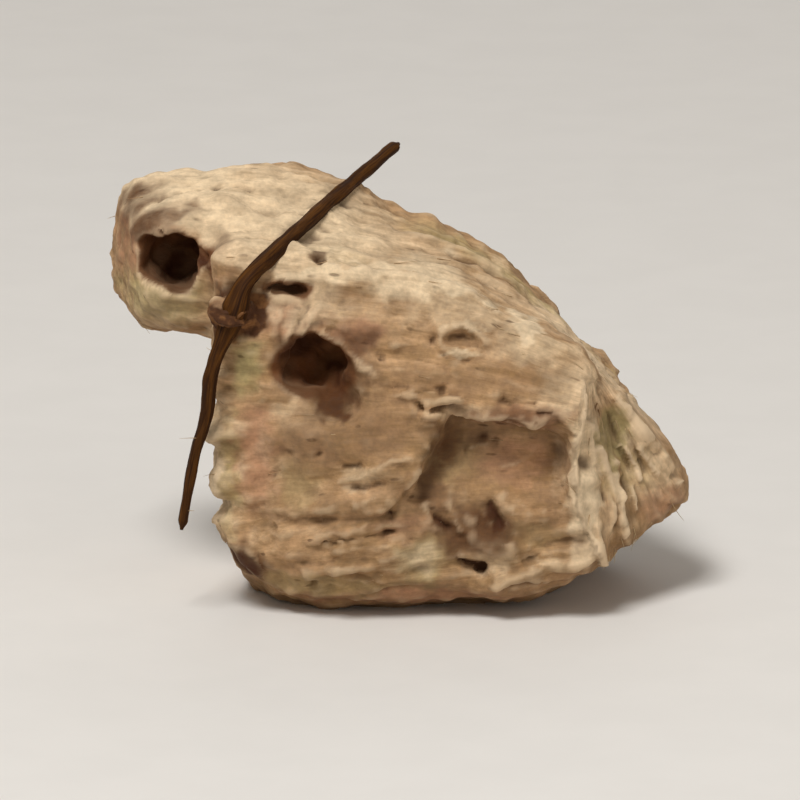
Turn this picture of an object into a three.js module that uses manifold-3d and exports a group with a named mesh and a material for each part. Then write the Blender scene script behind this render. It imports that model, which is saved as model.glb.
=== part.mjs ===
// One dried chunk of stone root, chopped from a knotted rhizome. Two wiry rootlets still grow from its knot.
// Millimetres, +Z up. The origin is near the middle of the flat chopped face that the chunk rests on.
// The wood's fibres run along X, and the large split face looks towards -Y.
import * as THREE from "three";
import { mergeVertices } from "three/addons/utils/BufferGeometryUtils.js";
import { ImprovedNoise } from "three/addons/math/ImprovedNoise.js";
import Module from "manifold-3d";

const wasm = await Module();
wasm.setup();

// Driving dimensions.
const LENGTH = 20; // end of the arm to the tip of the buttress
const FRONT_Y = -4.6; // the split face
const BACK_Y = 5; // the bark side
const CHOPPED_END_X = -6.8; // the cut end under the arm
const CROWN_Z = 12.6; // the top, over the origin
const ARM_RADIUS = 2.9; // stump of the branch at the upper left
const ROOTLET_RADIUS = 0.3; // the wiry rootlets, where they leave the knot

const TIP_X = LENGTH / 2;
const ARM_END_X = -LENGTH / 2;
const WORN_EDGE = 0.7; // rounding between two faces
const ARM_BLEND = 1.1; // fillet where the arm joins the block
const BUTTRESS_BLEND = 0.6; // fillet where the buttress joins it
const FOOT_EDGE = 0.1; // rounding round the resting face
const SHALLOW = { grain: 0.22, bark: 0.34, warp: 0.5 }; // heights of the relief that covers a whole side
const TOOTH_HEIGHT = 0.24; // teeth of fibre on the left rim
const TOOTH_SPACING = 1.75;

const SKIN_DETAIL = 18; // subdivisions of the icosahedron that becomes the skin
const BALL_DETAIL = 3; // subdivisions of the balls that cut the holes and add the knot
const RAY_SPREAD = new THREE.Vector3(1.6, 1, 1.15); // sends more of the skin's points to the far ends
const SKIN_SLIDES = 60; // rounds in which the skin's points spread out evenly
const ROOTLET_STEPS = 22;
const ROOTLET_SIDES = 8;

const vec = (x, y, z) => new THREE.Vector3(x, y, z);
const noise = new ImprovedNoise();

// The larger of two distances, worn round over a width where they meet.
function smoothMax(a, b, width) {
  const overlap = Math.max(width - Math.abs(a - b), 0) / width;
  return Math.max(a, b) + (overlap * overlap * width) / 4;
}

const smoothMin = (a, b, width) => -smoothMax(-a, -b, width);

// 0 below zero and 1 above the width, with a soft change between.
const rise = (value, width) => THREE.MathUtils.smoothstep(value, 0, width);

// Distance from a flat face that looks along a normal and passes through a point.
function face(normal, point) {
  const n = normal.clone().normalize();
  const offset = n.dot(point);
  return (p) => n.dot(p) - offset;
}

// Distance from an ellipsoid, close enough near its surface.
function ellipsoid(centre, radii) {
  const scaled = vec();
  const twice = vec();
  return (p) => {
    scaled.copy(p).sub(centre).divide(radii);
    twice.copy(scaled).divide(radii);
    const k = scaled.length();
    return k < 1e-6 ? -radii.x : (k * (k - 1)) / twice.length();
  };
}

// Distance from a round bar.
function roundBar(start, end, radius) {
  const along = end.clone().sub(start);
  const offset = vec();
  return (p) => {
    offset.copy(p).sub(start);
    const t = THREE.MathUtils.clamp(offset.dot(along) / along.lengthSq(), 0, 1);
    return offset.addScaledVector(along, -t).length() - radius;
  };
}

// How near (x, z) is to a line of points: 1 on it, fading to 0 over about twice the width.
function nearLine(points, width, x, z) {
  let nearest = Infinity;
  for (let i = 1; i < points.length; i++) {
    const [x0, z0] = points[i - 1];
    const [dx, dz] = [points[i][0] - x0, points[i][1] - z0];
    const along = ((x - x0) * dx + (z - z0) * dz) / (dx * dx + dz * dz);
    const t = THREE.MathUtils.clamp(along, 0, 1);
    nearest = Math.min(nearest, Math.hypot(x - x0 - t * dx, z - z0 - t * dz));
  }
  return Math.exp(-((nearest / width) ** 2));
}

// Height of a line of points (x, z), read at x.
function lineHeight(points, x) {
  const next = points.findIndex(([px]) => x <= px);
  if (next === 0) return points[0][1];
  if (next < 0) return points[points.length - 1][1];
  const [[x0, z0], [x1, z1]] = [points[next - 1], points[next]];
  return THREE.MathUtils.mapLinear(x, x0, x1, z0, z1);
}

// The faces that chopping, splitting and drying left round the sides.
const sides = [
  face(vec(-0.1, -0.99, 0.06), vec(-2.5, FRONT_Y, 4)), // split face, left of the fold
  face(vec(0.12, -0.99, -0.02), vec(3.4, FRONT_Y, 4)), // split face, right of the fold
  face(vec(0.02, -0.94, 0.34), vec(0, FRONT_Y, 8)), // split face above the ledge, leaning back
  face(vec(0.64, -0.77, 0.12), vec(6.2, -4.0, 5)), // fan face of the buttress
  face(vec(0.9, 0.25, -0.1), vec(TIP_X + 0.6, 0, 4)), // broken tip
  face(vec(0.6, -0.25, -0.8), vec(8.4, -1.8, 3.0)), // under the tip
  face(vec(0.62, 0.78, 0.05), vec(7.2, 3, 4)), // back of the buttress
  face(vec(0.1, 1, -0.12), vec(1, BACK_Y, 4.5)), // bark side, low
  face(vec(-0.08, 0.9, 0.34), vec(-1, BACK_Y, 8)), // bark side, high
  face(vec(-0.97, 0.22, -0.02), vec(CHOPPED_END_X, -3.8, 5)), // chopped end under the arm
  face(vec(-0.7, 0.7, -0.1), vec(-5.2, 3.6, 5)), // chopped end, back corner
  face(vec(-0.66, -0.3, -0.68), vec(-5.4, -3.8, 1.8)), // dark corner, low on the left
  face(vec(0.02, -0.6, -0.8), vec(-2, -4.4, 0.95)), // under the split face
  face(vec(0.17, -0.55, -0.8), vec(3, -4.4, 1.25)), // under the lower lip
  face(vec(0.1, 0.6, -0.8), vec(0, 4.5, 0.8)), // under the bark side
];
const block = [
  ...sides,
  face(vec(0.12, -0.23, 1), vec(0, 0, CROWN_Z)), // top, on the left
  face(vec(0.45, -0.12, 1), vec(0, 0, CROWN_Z - 0.2)), // top, falling to the right
  face(vec(1.6, 0.14, 1), vec(5.85, -3.2, 9.5)), // top, steep to the buttress
];
const buttress = [
  ...sides,
  face(vec(1.03, -0.1, 1), vec(7.1, 0, 7.35)), // upper edge
  face(vec(0, 0, 1), vec(0, 0, 8.2)), // where it merges with the block
];

// The stump of a branch at the upper left.
const arm = [
  roundBar(vec(-3.2, 1, 10.6), vec(-8.4, 1.6, 11.5), ARM_RADIUS),
  face(vec(-0.96, -0.2, -0.06), vec(ARM_END_X + 0.6, 0, 11.4)), // broken end
  face(vec(-0.3, 0.2, -1), vec(-8, 1, 8.7)), // underside, split flat
  face(vec(-0.06, -0.14, 1), vec(-7, 1.5, 14.2)), // top
  face(vec(-0.5, -0.4, 0.77), vec(-9.1, 0, 13.4)), // chipped shoulder
  face(vec(-0.62, 0.74, 0.26), vec(-8.7, 3.5, 12.4)), // chipped back corner
  face(vec(-0.72, -0.5, -0.48), vec(-9.3, -0.9, 10.1)), // chipped front corner
];

// Rounded lumps that stand out of the block, each with the width over which it blends in.
const lumps = [
  { blend: 1.4, shape: ellipsoid(vec(-4.3, 2.9, 12.7), vec(2.6, 1.9, 1.3)) }, // hump at the root of the arm
  { blend: 0.35, shape: ellipsoid(vec(-3.6, -4.2, 10.55), vec(1.35, 0.95, 0.65)) }, // brow over the pit
  { blend: 1.0, shape: ellipsoid(vec(1.6, 4.7, 4.6), vec(2.5, 1.7, 2.2)) }, // broken side branch, at the back
  { blend: 0.9, shape: ellipsoid(vec(-3.6, 4.6, 8.6), vec(1.7, 1.3, 1.4)) }, // bud, at the back
  { blend: 0.7, shape: ellipsoid(vec(5.6, 3.4, 3.2), vec(1.3, 1.1, 1.0)) }, // second bud, low at the back
];

// Shallow hollows, each with the width over which its edge is worn.
const hollows = [
  { blend: 0.4, shape: ellipsoid(vec(-3.1, -5.0, 8.9), vec(1.5, 1.6, 1.25)) }, // funnel of the pit
  { blend: 0.5, shape: ellipsoid(vec(-2.4, -5.0, 7.9), vec(0.75, 1.3, 1.1)) }, // its tail
  { blend: 0.4, shape: ellipsoid(vec(1.9, 6.7, 4.9), vec(1.15, 1.2, 1.0)) }, // heart of the broken side branch
  { blend: 0.8, shape: ellipsoid(vec(-8.2, -0.8, 7.8), vec(1.8, 2.0, 1.4)) }, // scoop under the arm
];

// Lines on the split face and the fan face, as points (x, z).
const LEDGE = [[0.3, 7.8], [2.0, 7.55], [3.0, 7.1], [5.5, 6.7]];
const FOLD = [[1.3, 7.2], [0.6, 5.9], [0.0, 4.8], [-0.6, 4.0]];
const BUTTRESS_RIDGE = [[5.95, 8.1], [5.75, 7.0], [5.8, 5.1], [6.2, 3.0], [6.6, 1.9]];
const LOWER_LIP = [[2.6, 1.1], [4.6, 1.5], [6.3, 2.0]];

// Ridges stand out of the faces, and furrows, with a height below zero, are sunk in them.
const creases = [
  { line: LEDGE.map(([x, z]) => [x, z + 0.35]), width: 0.4, height: 0.28 },
  { line: FOLD.map(([x, z]) => [x - 0.5, z]), width: 0.6, height: 0.24 },
  { line: BUTTRESS_RIDGE, width: 0.5, height: 0.38 },
  { line: LOWER_LIP, width: 0.4, height: 0.3 },
  { line: [[-4.3, 3.4], [-1.6, 3.7], [0.8, 4.1]], width: 0.32, height: 0.2 }, // fibre ridges, low on the left
  { line: [[-4.0, 2.5], [-1.4, 2.8], [0.9, 3.3]], width: 0.3, height: 0.18 },
  { line: [[-3.4, 1.6], [-1.0, 1.9], [1.0, 2.2]], width: 0.3, height: 0.15 },
  { line: [[-2.6, 6.4], [-1.0, 5.6], [0.2, 5.2]], width: 0.4, height: 0.16 },
  { line: [[-5.6, 8.8], [-4.9, 6.0], [-5.2, 3.2]], width: 0.6, height: -0.1 }, // furrow inside the left rim
  { line: [[1.3, 3.5], [1.4, 3.3]], width: 0.35, height: -0.35 }, // dark dents under the strip
  { line: [[2.9, 3.6], [3.1, 3.2]], width: 0.35, height: -0.4 },
  { line: [[2.1, 2.2], [2.6, 2.0]], width: 0.35, height: -0.35 },
  { line: [[2.3, 3.2], [3.6, 2.5]], width: 0.45, height: 0.22 },
  { line: [[0.9, 9.7], [1.4, 10.3], [2.6, 10.3], [3.1, 9.7]], width: 0.28, height: 0.2 }, // ring scar
  { line: [[1.5, 9.85], [2.3, 9.85]], width: 0.3, height: -0.3 },
  { line: [[6.8, 7.0], [7.2, 6.0], [7.7, 4.9]], width: 0.5, height: -0.45 }, // groove of the fan
  { line: [[7.3, 7.3], [8.0, 6.3], [8.7, 5.2], [9.4, 4.2]], width: 0.42, height: 0.22 }, // its upper ridge
];

// The strip torn out under the ledge, from 0 outside it to 1 on its floor.
const STRIP_DEPTH = 0.85;
const STRIP_BOTTOM_Z = 2.9;
function tornStrip(x, z) {
  const foldX = -lineHeight(FOLD.map(([fx, fz]) => [-fz, -fx]), -z);
  const top = rise(lineHeight(LEDGE, x) - z, 0.3);
  const bottom = rise(z - STRIP_BOTTOM_Z, 2.8);
  return top * bottom * rise(x - foldX, 0.7) * rise(5.7 - x, 0.4);
}

// How far the split face and the fan face stand out at a point.
function frontRelief(p) {
  const onFront = rise(-p.y - 0.2, 0.8);
  if (onFront === 0) return 0;
  let out = -STRIP_DEPTH * tornStrip(p.x, p.z);
  for (const { line, width, height } of creases) out += height * nearLine(line, width, p.x, p.z);
  return out * onFront;
}

// Teeth of fibre along the left rim of the split face.
function rimTeeth(p) {
  const onRim = rise(-5.2 - p.x, 0.8) * rise(-2.2 - p.y, 1) * rise(9.5 - p.z, 1) * rise(p.z - 1.5, 1);
  return TOOTH_HEIGHT * onRim * Math.cos(((p.z - STRIP_BOTTOM_Z) * 2 * Math.PI) / TOOTH_SPACING);
}

// Long ridges that follow the fibres, bending down towards the tip.
function grain(p) {
  const layer = p.z + 0.02 * p.x * p.x;
  const coarse = noise.noise(p.x * 0.16 + 3.1, p.y * 0.5, layer * 0.6);
  const fine = noise.noise(p.x * 0.28 + 7.7, p.y * 0.9, layer * 1.0);
  return SHALLOW.grain * (coarse + 0.6 * fine);
}

// Wrinkles and knobs of the bark, which only the back and the back of the arm keep.
function barkRelief(p) {
  const onBack = rise(p.y - 2.2, 1.6);
  if (onBack === 0) return 0;
  const wrinkle = noise.noise(p.x * 0.75, p.y * 0.5 + 5.3, p.z * 0.42);
  const knob = noise.noise(p.x * 0.5 + 9.1, p.y * 0.5, p.z * 0.6);
  return SHALLOW.bark * onBack * (wrinkle + 0.8 * knob);
}

// Slow bends that keep any face from being quite flat.
const warped = vec();
function warp(p) {
  const slow = 0.17;
  return warped.set(
    p.x + SHALLOW.warp * noise.noise(p.x * slow + 1.7, p.y * slow, p.z * slow),
    p.y + SHALLOW.warp * noise.noise(p.x * slow, p.y * slow + 4.2, p.z * slow),
    p.z + SHALLOW.warp * noise.noise(p.x * slow, p.y * slow, p.z * slow + 8.6),
  );
}

// Distance from the solid that several faces bound.
const within = (faces, p) => faces.reduce((d, side) => smoothMax(d, side(p), WORN_EDGE), -LENGTH);

const restingFace = face(vec(0, 0, -1), vec(0, 0, 0));

// Distance from the whole chunk: negative inside it, positive outside.
function chunk(p) {
  const q = warp(p);
  let d = within(block, q);
  if (q.x > 3) d = smoothMin(d, within(buttress, q), BUTTRESS_BLEND);
  d = smoothMin(d, within(arm, q), ARM_BLEND);
  for (const lump of lumps) d = smoothMin(d, lump.shape(p), lump.blend);
  for (const hollow of hollows) d = smoothMax(d, -hollow.shape(p), hollow.blend);
  d -= frontRelief(p) + rimTeeth(p) + grain(p) + barkRelief(p);
  return smoothMax(d, restingFace(p), FOOT_EDGE);
}

// Which way a distance grows fastest, and how fast.
function slope(shape, p) {
  const e = 0.04;
  const across = (x, y, z) =>
    shape(vec(p.x + x, p.y + y, p.z + z)) - shape(vec(p.x - x, p.y - y, p.z - z));
  return vec(across(e, 0, 0), across(0, e, 0), across(0, 0, e)).divideScalar(2 * e);
}

// The outermost point of a shape along a ray from its heart.
function outermost(shape, heart, ray) {
  const STEP = 0.1;
  let t = LENGTH;
  while (t > 0 && shape(heart.clone().addScaledVector(ray, t)) > 0) t -= STEP;
  let [inside, outside] = [t, t + STEP];
  for (let halving = 0; halving < 10; halving++) {
    const middle = (inside + outside) / 2;
    if (shape(heart.clone().addScaledVector(ray, middle)) > 0) outside = middle;
    else inside = middle;
  }
  return heart.clone().addScaledVector(ray, inside);
}

// Brings a point back to the surface, a little at a time.
function settle(shape, p) {
  const LONGEST_STEP = 0.3;
  for (let round = 0; round < 2; round++) {
    const s = slope(shape, p);
    const step = shape(p) / Math.max(s.lengthSq(), 0.3);
    p.addScaledVector(s, -THREE.MathUtils.clamp(step, -LONGEST_STEP, LONGEST_STEP));
  }
  return p;
}

// The three.js icosahedron as a closed skin whose corners are shared.
function icosahedronSkin(detail) {
  const ball = new THREE.IcosahedronGeometry(1, detail);
  ball.deleteAttribute("normal");
  ball.deleteAttribute("uv");
  return mergeVertices(ball, 1e-4);
}

// An icosahedron's skin shrunk onto a shape, its points then spread evenly over it.
function shrinkWrap(shape, heart, detail) {
  const SLIDE = 0.6; // share of the way to its neighbours' middle that a point slides in one round
  const FLAT = 0.06; // points this close to the resting face are on it
  const skin = icosahedronSkin(detail);
  const place = skin.getAttribute("position");
  const index = skin.index.array;
  const points = [];
  for (let i = 0; i < place.count; i++) {
    const ray = vec().fromBufferAttribute(place, i).multiply(RAY_SPREAD).normalize();
    points.push(outermost(shape, heart, ray));
  }
  const neighbours = points.map(() => new Set());
  for (let i = 0; i < index.length; i += 3) {
    for (const [a, b] of [[0, 1], [1, 2], [2, 0]]) {
      neighbours[index[i + a]].add(index[i + b]);
      neighbours[index[i + b]].add(index[i + a]);
    }
  }
  for (let round = 0; round < SKIN_SLIDES; round++) {
    const moved = points.map((p, i) => {
      const pull = vec();
      let weights = 0;
      for (const j of neighbours[i]) {
        const edge = points[j].clone().sub(p);
        const weight = edge.length();
        pull.addScaledVector(edge, weight);
        weights += weight;
      }
      return settle(shape, p.clone().addScaledVector(pull, SLIDE / weights));
    });
    moved.forEach((p, i) => points[i].copy(p));
  }
  points.forEach((p, i) => place.setXYZ(i, p.x, p.y, Math.abs(p.z) < FLAT ? 0 : p.z));
  return skin;
}

// A long lumpy ball from one point to another, which cuts a rotted hole or adds a knot.
function lumpyBall(start, end, halfWidth, halfHeight) {
  const LUMPINESS = 0.3;
  const ball = icosahedronSkin(BALL_DETAIL);
  const place = ball.getAttribute("position");
  const turn = new THREE.Quaternion().setFromUnitVectors(vec(0, 0, 1), end.clone().sub(start).normalize());
  const middle = start.clone().lerp(end, 0.5);
  const p = vec();
  for (let i = 0; i < place.count; i++) {
    p.fromBufferAttribute(place, i);
    const lump = 1 + LUMPINESS * noise.noise(p.x * 1.6 + 2.4, p.y * 1.6, p.z * 1.6);
    p.multiply(vec(halfWidth, halfHeight, start.distanceTo(end) / 2)).multiplyScalar(lump);
    p.applyQuaternion(turn).add(middle);
    place.setXYZ(i, p.x, p.y, p.z);
  }
  return ball;
}

// A tapered rootlet along a curve, closed at both ends.
function rootlet(points, baseRadius, tipRadius) {
  const curve = new THREE.CatmullRomCurve3(points);
  const rod = new THREE.CylinderGeometry(tipRadius, baseRadius, 1, ROOTLET_SIDES, ROOTLET_STEPS);
  rod.deleteAttribute("normal");
  rod.deleteAttribute("uv");
  const bar = mergeVertices(rod, 1e-5);
  const frames = curve.computeFrenetFrames(ROOTLET_STEPS);
  const place = bar.getAttribute("position");
  for (let i = 0; i < place.count; i++) {
    const along = THREE.MathUtils.clamp(place.getY(i) + 0.5, 0, 1);
    const ring = Math.round(along * ROOTLET_STEPS);
    const p = curve.getPointAt(along);
    p.addScaledVector(frames.binormals[ring], place.getX(i));
    p.addScaledVector(frames.normals[ring], place.getZ(i));
    place.setXYZ(i, p.x, p.y, p.z);
  }
  return bar;
}

function solidOf(geometry) {
  return new wasm.Manifold(
    new wasm.Mesh({
      numProp: 3,
      vertProperties: geometry.getAttribute("position").array,
      triVerts: new Uint32Array(geometry.index.array),
    }),
  );
}

function geometryOf(solid) {
  const mesh = solid.getMesh();
  const geometry = new THREE.BufferGeometry();
  geometry.setAttribute("position", new THREE.BufferAttribute(mesh.vertProperties, 3));
  geometry.setIndex(new THREE.BufferAttribute(mesh.triVerts, 1));
  geometry.computeVertexNormals();
  return geometry;
}

const KNOT = vec(-5.8, -4.2, 10.7); // where both rootlets start
const upperRootlet = rootlet(
  [KNOT, vec(-5.4, -4.1, 11.8), vec(-4.4, -2.8, 12.55), vec(-1.6, 2.3, 13.9), vec(-0.2, 4.8, 14.5)],
  ROOTLET_RADIUS,
  ROOTLET_RADIUS * 0.65,
);
const lowerRootlet = rootlet(
  [KNOT, vec(-6.5, -4.5, 8.9), vec(-6.75, -4.4, 7.1), vec(-7.1, -4.3, 5.9), vec(-7.6, -4.0, 3.1)],
  ROOTLET_RADIUS * 0.9,
  ROOTLET_RADIUS * 0.5,
);
const knot = lumpyBall(vec(-5.95, -4.9, 10.65), vec(-5.75, -3.1, 10.95), 0.95, 0.72);
const holes = [
  lumpyBall(vec(-8.35, -2.6, 12.0), vec(-7.5, 1.2, 11.6), 1.28, 1.15), // rotted into the arm
  lumpyBall(vec(-3.2, -5.2, 8.75), vec(-3.0, -2.1, 9.05), 1.25, 1.0), // the pit under the brow
  lumpyBall(vec(-4.1, -4.5, 11.2), vec(-4.0, -2.5, 11.45), 0.85, 0.3), // the crack behind the brow
];

const skinned = solidOf(shrinkWrap(chunk, vec(0, 0.3, 6), SKIN_DETAIL));
const opened = holes.reduce((solid, hole) => solid.subtract(solidOf(hole)), skinned);
const whole = [knot, upperRootlet, lowerRootlet].reduce((solid, growth) => solid.add(solidOf(growth)), opened);

const driedRoot = new THREE.MeshStandardMaterial({ color: 0xa58a68, roughness: 0.9, metalness: 0 });
const rootChunk = new THREE.Mesh(geometryOf(whole), driedRoot);
rootChunk.name = "root_chunk";

const stoneRoot = new THREE.Group();
stoneRoot.add(rootChunk);

export default stoneRoot;
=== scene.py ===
"""One chopped chunk of dried stone root, dressed and set on a pale studio floor.

The chunk's skin is a fine copy of its solid. Ridges, furrows, tears, pits and bark wrinkles are pushed
into it in code, and its stains are painted on as attributes that the material reads. The two wiry rootlets
and the loose fibres are pieces of their own. Sizes are in millimetres until a mesh is finished, and then in
metres.
"""

import logging
import math
from collections.abc import Sequence
from dataclasses import dataclass, field
from enum import Enum

import bmesh
import bpy
import numpy as np
from mathutils import Matrix, Vector


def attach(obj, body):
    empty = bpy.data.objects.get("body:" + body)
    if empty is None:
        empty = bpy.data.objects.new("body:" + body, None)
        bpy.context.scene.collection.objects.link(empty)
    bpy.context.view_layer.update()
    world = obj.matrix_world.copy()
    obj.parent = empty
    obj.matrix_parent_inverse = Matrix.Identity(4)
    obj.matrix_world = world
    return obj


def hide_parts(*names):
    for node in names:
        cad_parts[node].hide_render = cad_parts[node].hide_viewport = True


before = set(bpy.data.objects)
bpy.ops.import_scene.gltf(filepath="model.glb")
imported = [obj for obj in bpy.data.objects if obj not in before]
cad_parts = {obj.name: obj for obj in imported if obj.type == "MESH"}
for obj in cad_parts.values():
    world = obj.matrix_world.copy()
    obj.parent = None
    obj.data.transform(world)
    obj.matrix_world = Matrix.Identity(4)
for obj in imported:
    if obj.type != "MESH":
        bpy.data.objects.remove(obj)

log = logging.getLogger("stone_root")

MM = 0.001
NODE = "root_chunk"
BODY = "root"

Array = np.ndarray
Pair = tuple[float, float]
Triple = tuple[float, float, float]


# Numbers on whole arrays of points


def rise(values: Array, low: float, high: float) -> Array:
    """0 below low and 1 above high, with a soft change between."""
    t = np.clip((values - low) / (high - low), 0, 1)
    return t * t * (3 - 2 * t)


def unit(vectors: Array) -> Array:
    """The same directions with a length of 1."""
    return vectors / np.maximum(np.linalg.norm(vectors, axis=-1, keepdims=True), 1e-9)


def dots(first: Array, second: Array) -> Array:
    """The dot product of each row with the same row of the other."""
    return np.einsum("ij,ij->i", first, second)


def bell(distances: Array, width: float) -> Array:
    """1 at a distance of 0, fading out over the width."""
    return np.exp(-((distances / width) ** 2))


def distance_to_line(points: Array, line: Sequence[Sequence[float]]) -> Array:
    """Distance of each point from a broken line.

    Args:
        points: One row for each point, in two or three dimensions.
        line: The line's corners, or one point for a dot.

    Returns:
        One distance for each point.
    """
    corners = np.asarray(line, float)
    ends = corners[1:] if len(corners) > 1 else corners
    nearest = np.full(len(points), np.inf)
    for start, end in zip(corners, ends):
        along = end - start
        t = np.clip((points - start) @ along / ((along @ along) or 1.0), 0, 1)
        nearest = np.minimum(nearest, np.linalg.norm(points - start - t[:, None] * along, axis=1))
    return nearest


def curve_between(corners: Array, samples: int) -> Array:
    """The middle stretch of the smooth curve through four corners.

    Args:
        corners: The corners. The stretch runs from the second up to the third.
        samples: How many points, of which the last stops short of the third corner.

    Returns:
        One row for each point.
    """
    gaps = np.sqrt(np.linalg.norm(np.diff(corners, axis=0), axis=1))
    knots = np.concatenate([[0.0], np.cumsum(gaps)])
    t = np.linspace(knots[1], knots[2], samples, endpoint=False)[:, None]

    def mixed(before: Array, after: Array, first: int, last: int) -> Array:
        """Two curves, mixed by how far t is from one knot to the other."""
        return ((knots[last] - t) * before + (t - knots[first]) * after) / (knots[last] - knots[first])

    left, middle, right = (mixed(corners[i], corners[i + 1], i, i + 1) for i in range(3))
    return mixed(mixed(left, middle, 0, 2), mixed(middle, right, 1, 3), 1, 2)


def smooth_path(corners: Sequence[Sequence[float]], steps: int, samples: int = 40) -> Array:
    """Evenly spaced points on a smooth curve through the corners.

    Args:
        corners: Points that the curve passes through.
        steps: How many stretches the result has.
        samples: How finely the curve is measured between two corners.

    Returns:
        steps + 1 points.
    """
    given = np.asarray(corners, float)
    given = np.vstack([2 * given[0] - given[1], given, 2 * given[-1] - given[-2]])
    stretches = [curve_between(given[start:start + 4], samples) for start in range(len(given) - 3)]
    fine = np.vstack([*stretches, given[-2]])
    walked = np.concatenate([[0], np.cumsum(np.linalg.norm(np.diff(fine, axis=0), axis=1))])
    even = np.linspace(0, walked[-1], steps + 1)
    return np.stack([np.interp(even, walked, fine[:, axis]) for axis in range(3)], axis=1)


@dataclass(frozen=True)
class Layer:
    """One layer of natural relief or colour, read from a noise."""

    height: float
    swells: float | Triple
    shift: float
    octaves: int = 1

    def places(self, points: Array) -> Array:
        """Where the noise is read for each point: so many swells to a millimetre, and shifted aside."""
        return points * self.swells + self.shift


class Noise:
    """Seeded gradient noise, read at whole arrays of points. Its swells are about one unit wide."""

    lattice = 256
    strength = 1.6
    finer = 2.03
    fainter = 0.5
    aside = 17.3
    crest_slope = 1.8
    spot_scatter = 0.4
    shuffle = 97

    def __init__(self, seed: int) -> None:
        """Deals out the slopes of the noise's lattice.

        Args:
            seed: Which noise it is.
        """
        random = np.random.default_rng(seed)
        self.order = random.permutation(self.lattice)
        self.slopes = unit(random.normal(size=(self.lattice, 3)))

    def _pick(self, cell: Array) -> Array:
        """The number of the slope that belongs to each lattice cell.

        Args:
            cell: The cell's three whole numbers, one row for each point.

        Returns:
            One whole number for each point.
        """
        number = np.zeros(len(cell), int)
        for axis in range(3):
            number = self.order[(number + cell[:, axis]) % self.lattice]
        return number

    def at(self, points: Array, octaves: int = 1) -> Array:
        """The noise, from about -1 to 1.

        Args:
            points: Where to read it, one row for each point.
            octaves: How many layers, each with swells about half as wide and half as strong.

        Returns:
            One number for each point.
        """
        total = np.zeros(len(points))
        strength = self.strength
        for _ in range(octaves):
            cell = np.floor(points).astype(int)
            inside = points - cell
            fade = inside**3 * (inside * (inside * 6 - 15) + 10)
            for corner in np.ndindex(2, 2, 2):
                slope = self.slopes[self._pick(cell + corner)]
                weight = np.prod(np.where(corner, fade, 1 - fade), axis=1)
                total += strength * weight * dots(slope, inside - corner)
            points = points * self.finer + self.aside
            strength *= self.fainter
        return total

    def ridges(self, points: Array, octaves: int = 1) -> Array:
        """Noise with sharp crests, from 0 in its valleys to 1 on its crests."""
        return 1 - np.clip(np.abs(self.at(points, octaves)) * self.crest_slope, 0, 1)

    def spots(self, points: Array, share: float) -> Array:
        """Distance to the nearest of the scattered spots.

        Args:
            points: Where to read it.
            share: How many of the lattice's cells hold a spot, from 0 to 1.

        Returns:
            One distance for each point, in cells.
        """
        cell = np.floor(points).astype(int)
        nearest = np.full(len(points), 2.0)
        for corner in np.ndindex(3, 3, 3):
            there = cell + (np.array(corner) - 1)
            number = self._pick(there)
            away = np.linalg.norm(there + 0.5 + self.spot_scatter * self.slopes[number] - points, axis=1)
            holds_one = number * self.shuffle % self.lattice < share * self.lattice
            nearest = np.where(holds_one & (away < nearest), away, nearest)
        return nearest

    def swells(self, layer: Layer, points: Array) -> Array:
        """A layer of soft swells, as high as the layer says."""
        return layer.height * self.at(layer.places(points), layer.octaves)

    def crests(self, layer: Layer, points: Array, sunk: float = 0.5) -> Array:
        """A layer of sharp crests, each of which starts a share of its height below the surface."""
        return layer.height * (self.ridges(layer.places(points), layer.octaves) - sunk)

    def wander(self, layer: Layer, points: Array, shifts: Triple) -> Array:
        """How far each point strays along each axis, so that what is drawn at it gets uneven edges.

        Args:
            layer: How far the points stray, and how quickly that changes.
            points: Where to read it.
            shifts: Where in the noise each axis is read.

        Returns:
            One row for each point.
        """
        axes = [self.at(layer.places(points) + shift, layer.octaves) for shift in shifts]
        return layer.height * np.stack(axes, axis=1)


# What is drawn on the chunk


class Side(Enum):
    """A side of the chunk that marks are drawn on: its two axes, and the way it looks."""

    FRONT = ((0, 2), (0, -1, 0))
    TOP = ((0, 1), (0, 0, 1))
    CHOPPED_END = ((1, 2), (-1, 0, 0))
    BACK = ((0, 2), (0, 1, 0))
    TIP_END = ((1, 2), (1, 0, 0))

    def flatten(self, points: Array) -> Array:
        """The points as drawn on this side."""
        return points[:, list(self.value[0])]

    def faces(self, normals: Array) -> Array:
        """How squarely each normal looks the way that this side does, from 0 to 1."""
        return rise(normals @ np.array(self.value[1], float), 0.05, 0.45)


@dataclass(frozen=True)
class Mark:
    """A ridge, or with a height below zero a furrow, along a line drawn on one side."""

    height: float
    width: float
    line: tuple[Pair, ...]


@dataclass(frozen=True)
class Stain:
    """A soft patch of colour on one side."""

    strength: float
    centre: Pair
    radii: Pair


def mark(height: float, width: float, *line: Pair) -> Mark:
    """A mark written in one line."""
    return Mark(height, width, line)


# The edge between the top and the split face, and the ridge between the split face and the fan, as (x, z).
CREST = ((-4.2, 11.9), (-0.8, 12.0), (0.6, 11.7), (2.7, 11.1), (4.4, 10.0))
FAN_RIDGE = ((6.0, 8.2), (5.9, 6.9), (5.75, 5.55), (5.85, 4.3), (6.1, 3.3), (6.6, 2.4), (6.75, 1.8))
FAN_HEAD = (6.3, 8.6)
FAN_FACE = ((6.2, -4.0, 5.0), (0.635, -0.763, 0.119))
# The ledge's lower edge as (x, z), and the fold at the left of the torn strip as (z, x).
LEDGE = ((0.3, 7.7), (2.0, 7.35), (3.2, 7.1), (4.3, 6.75), (5.6, 6.75))
FOLD = ((4.0, -0.6), (4.8, 0.0), (5.9, 0.6), (7.2, 1.3))
RECESS_CORNER = ((0.4, 4.9), (1.4, 6.7), (3.4, 6.6))

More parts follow.
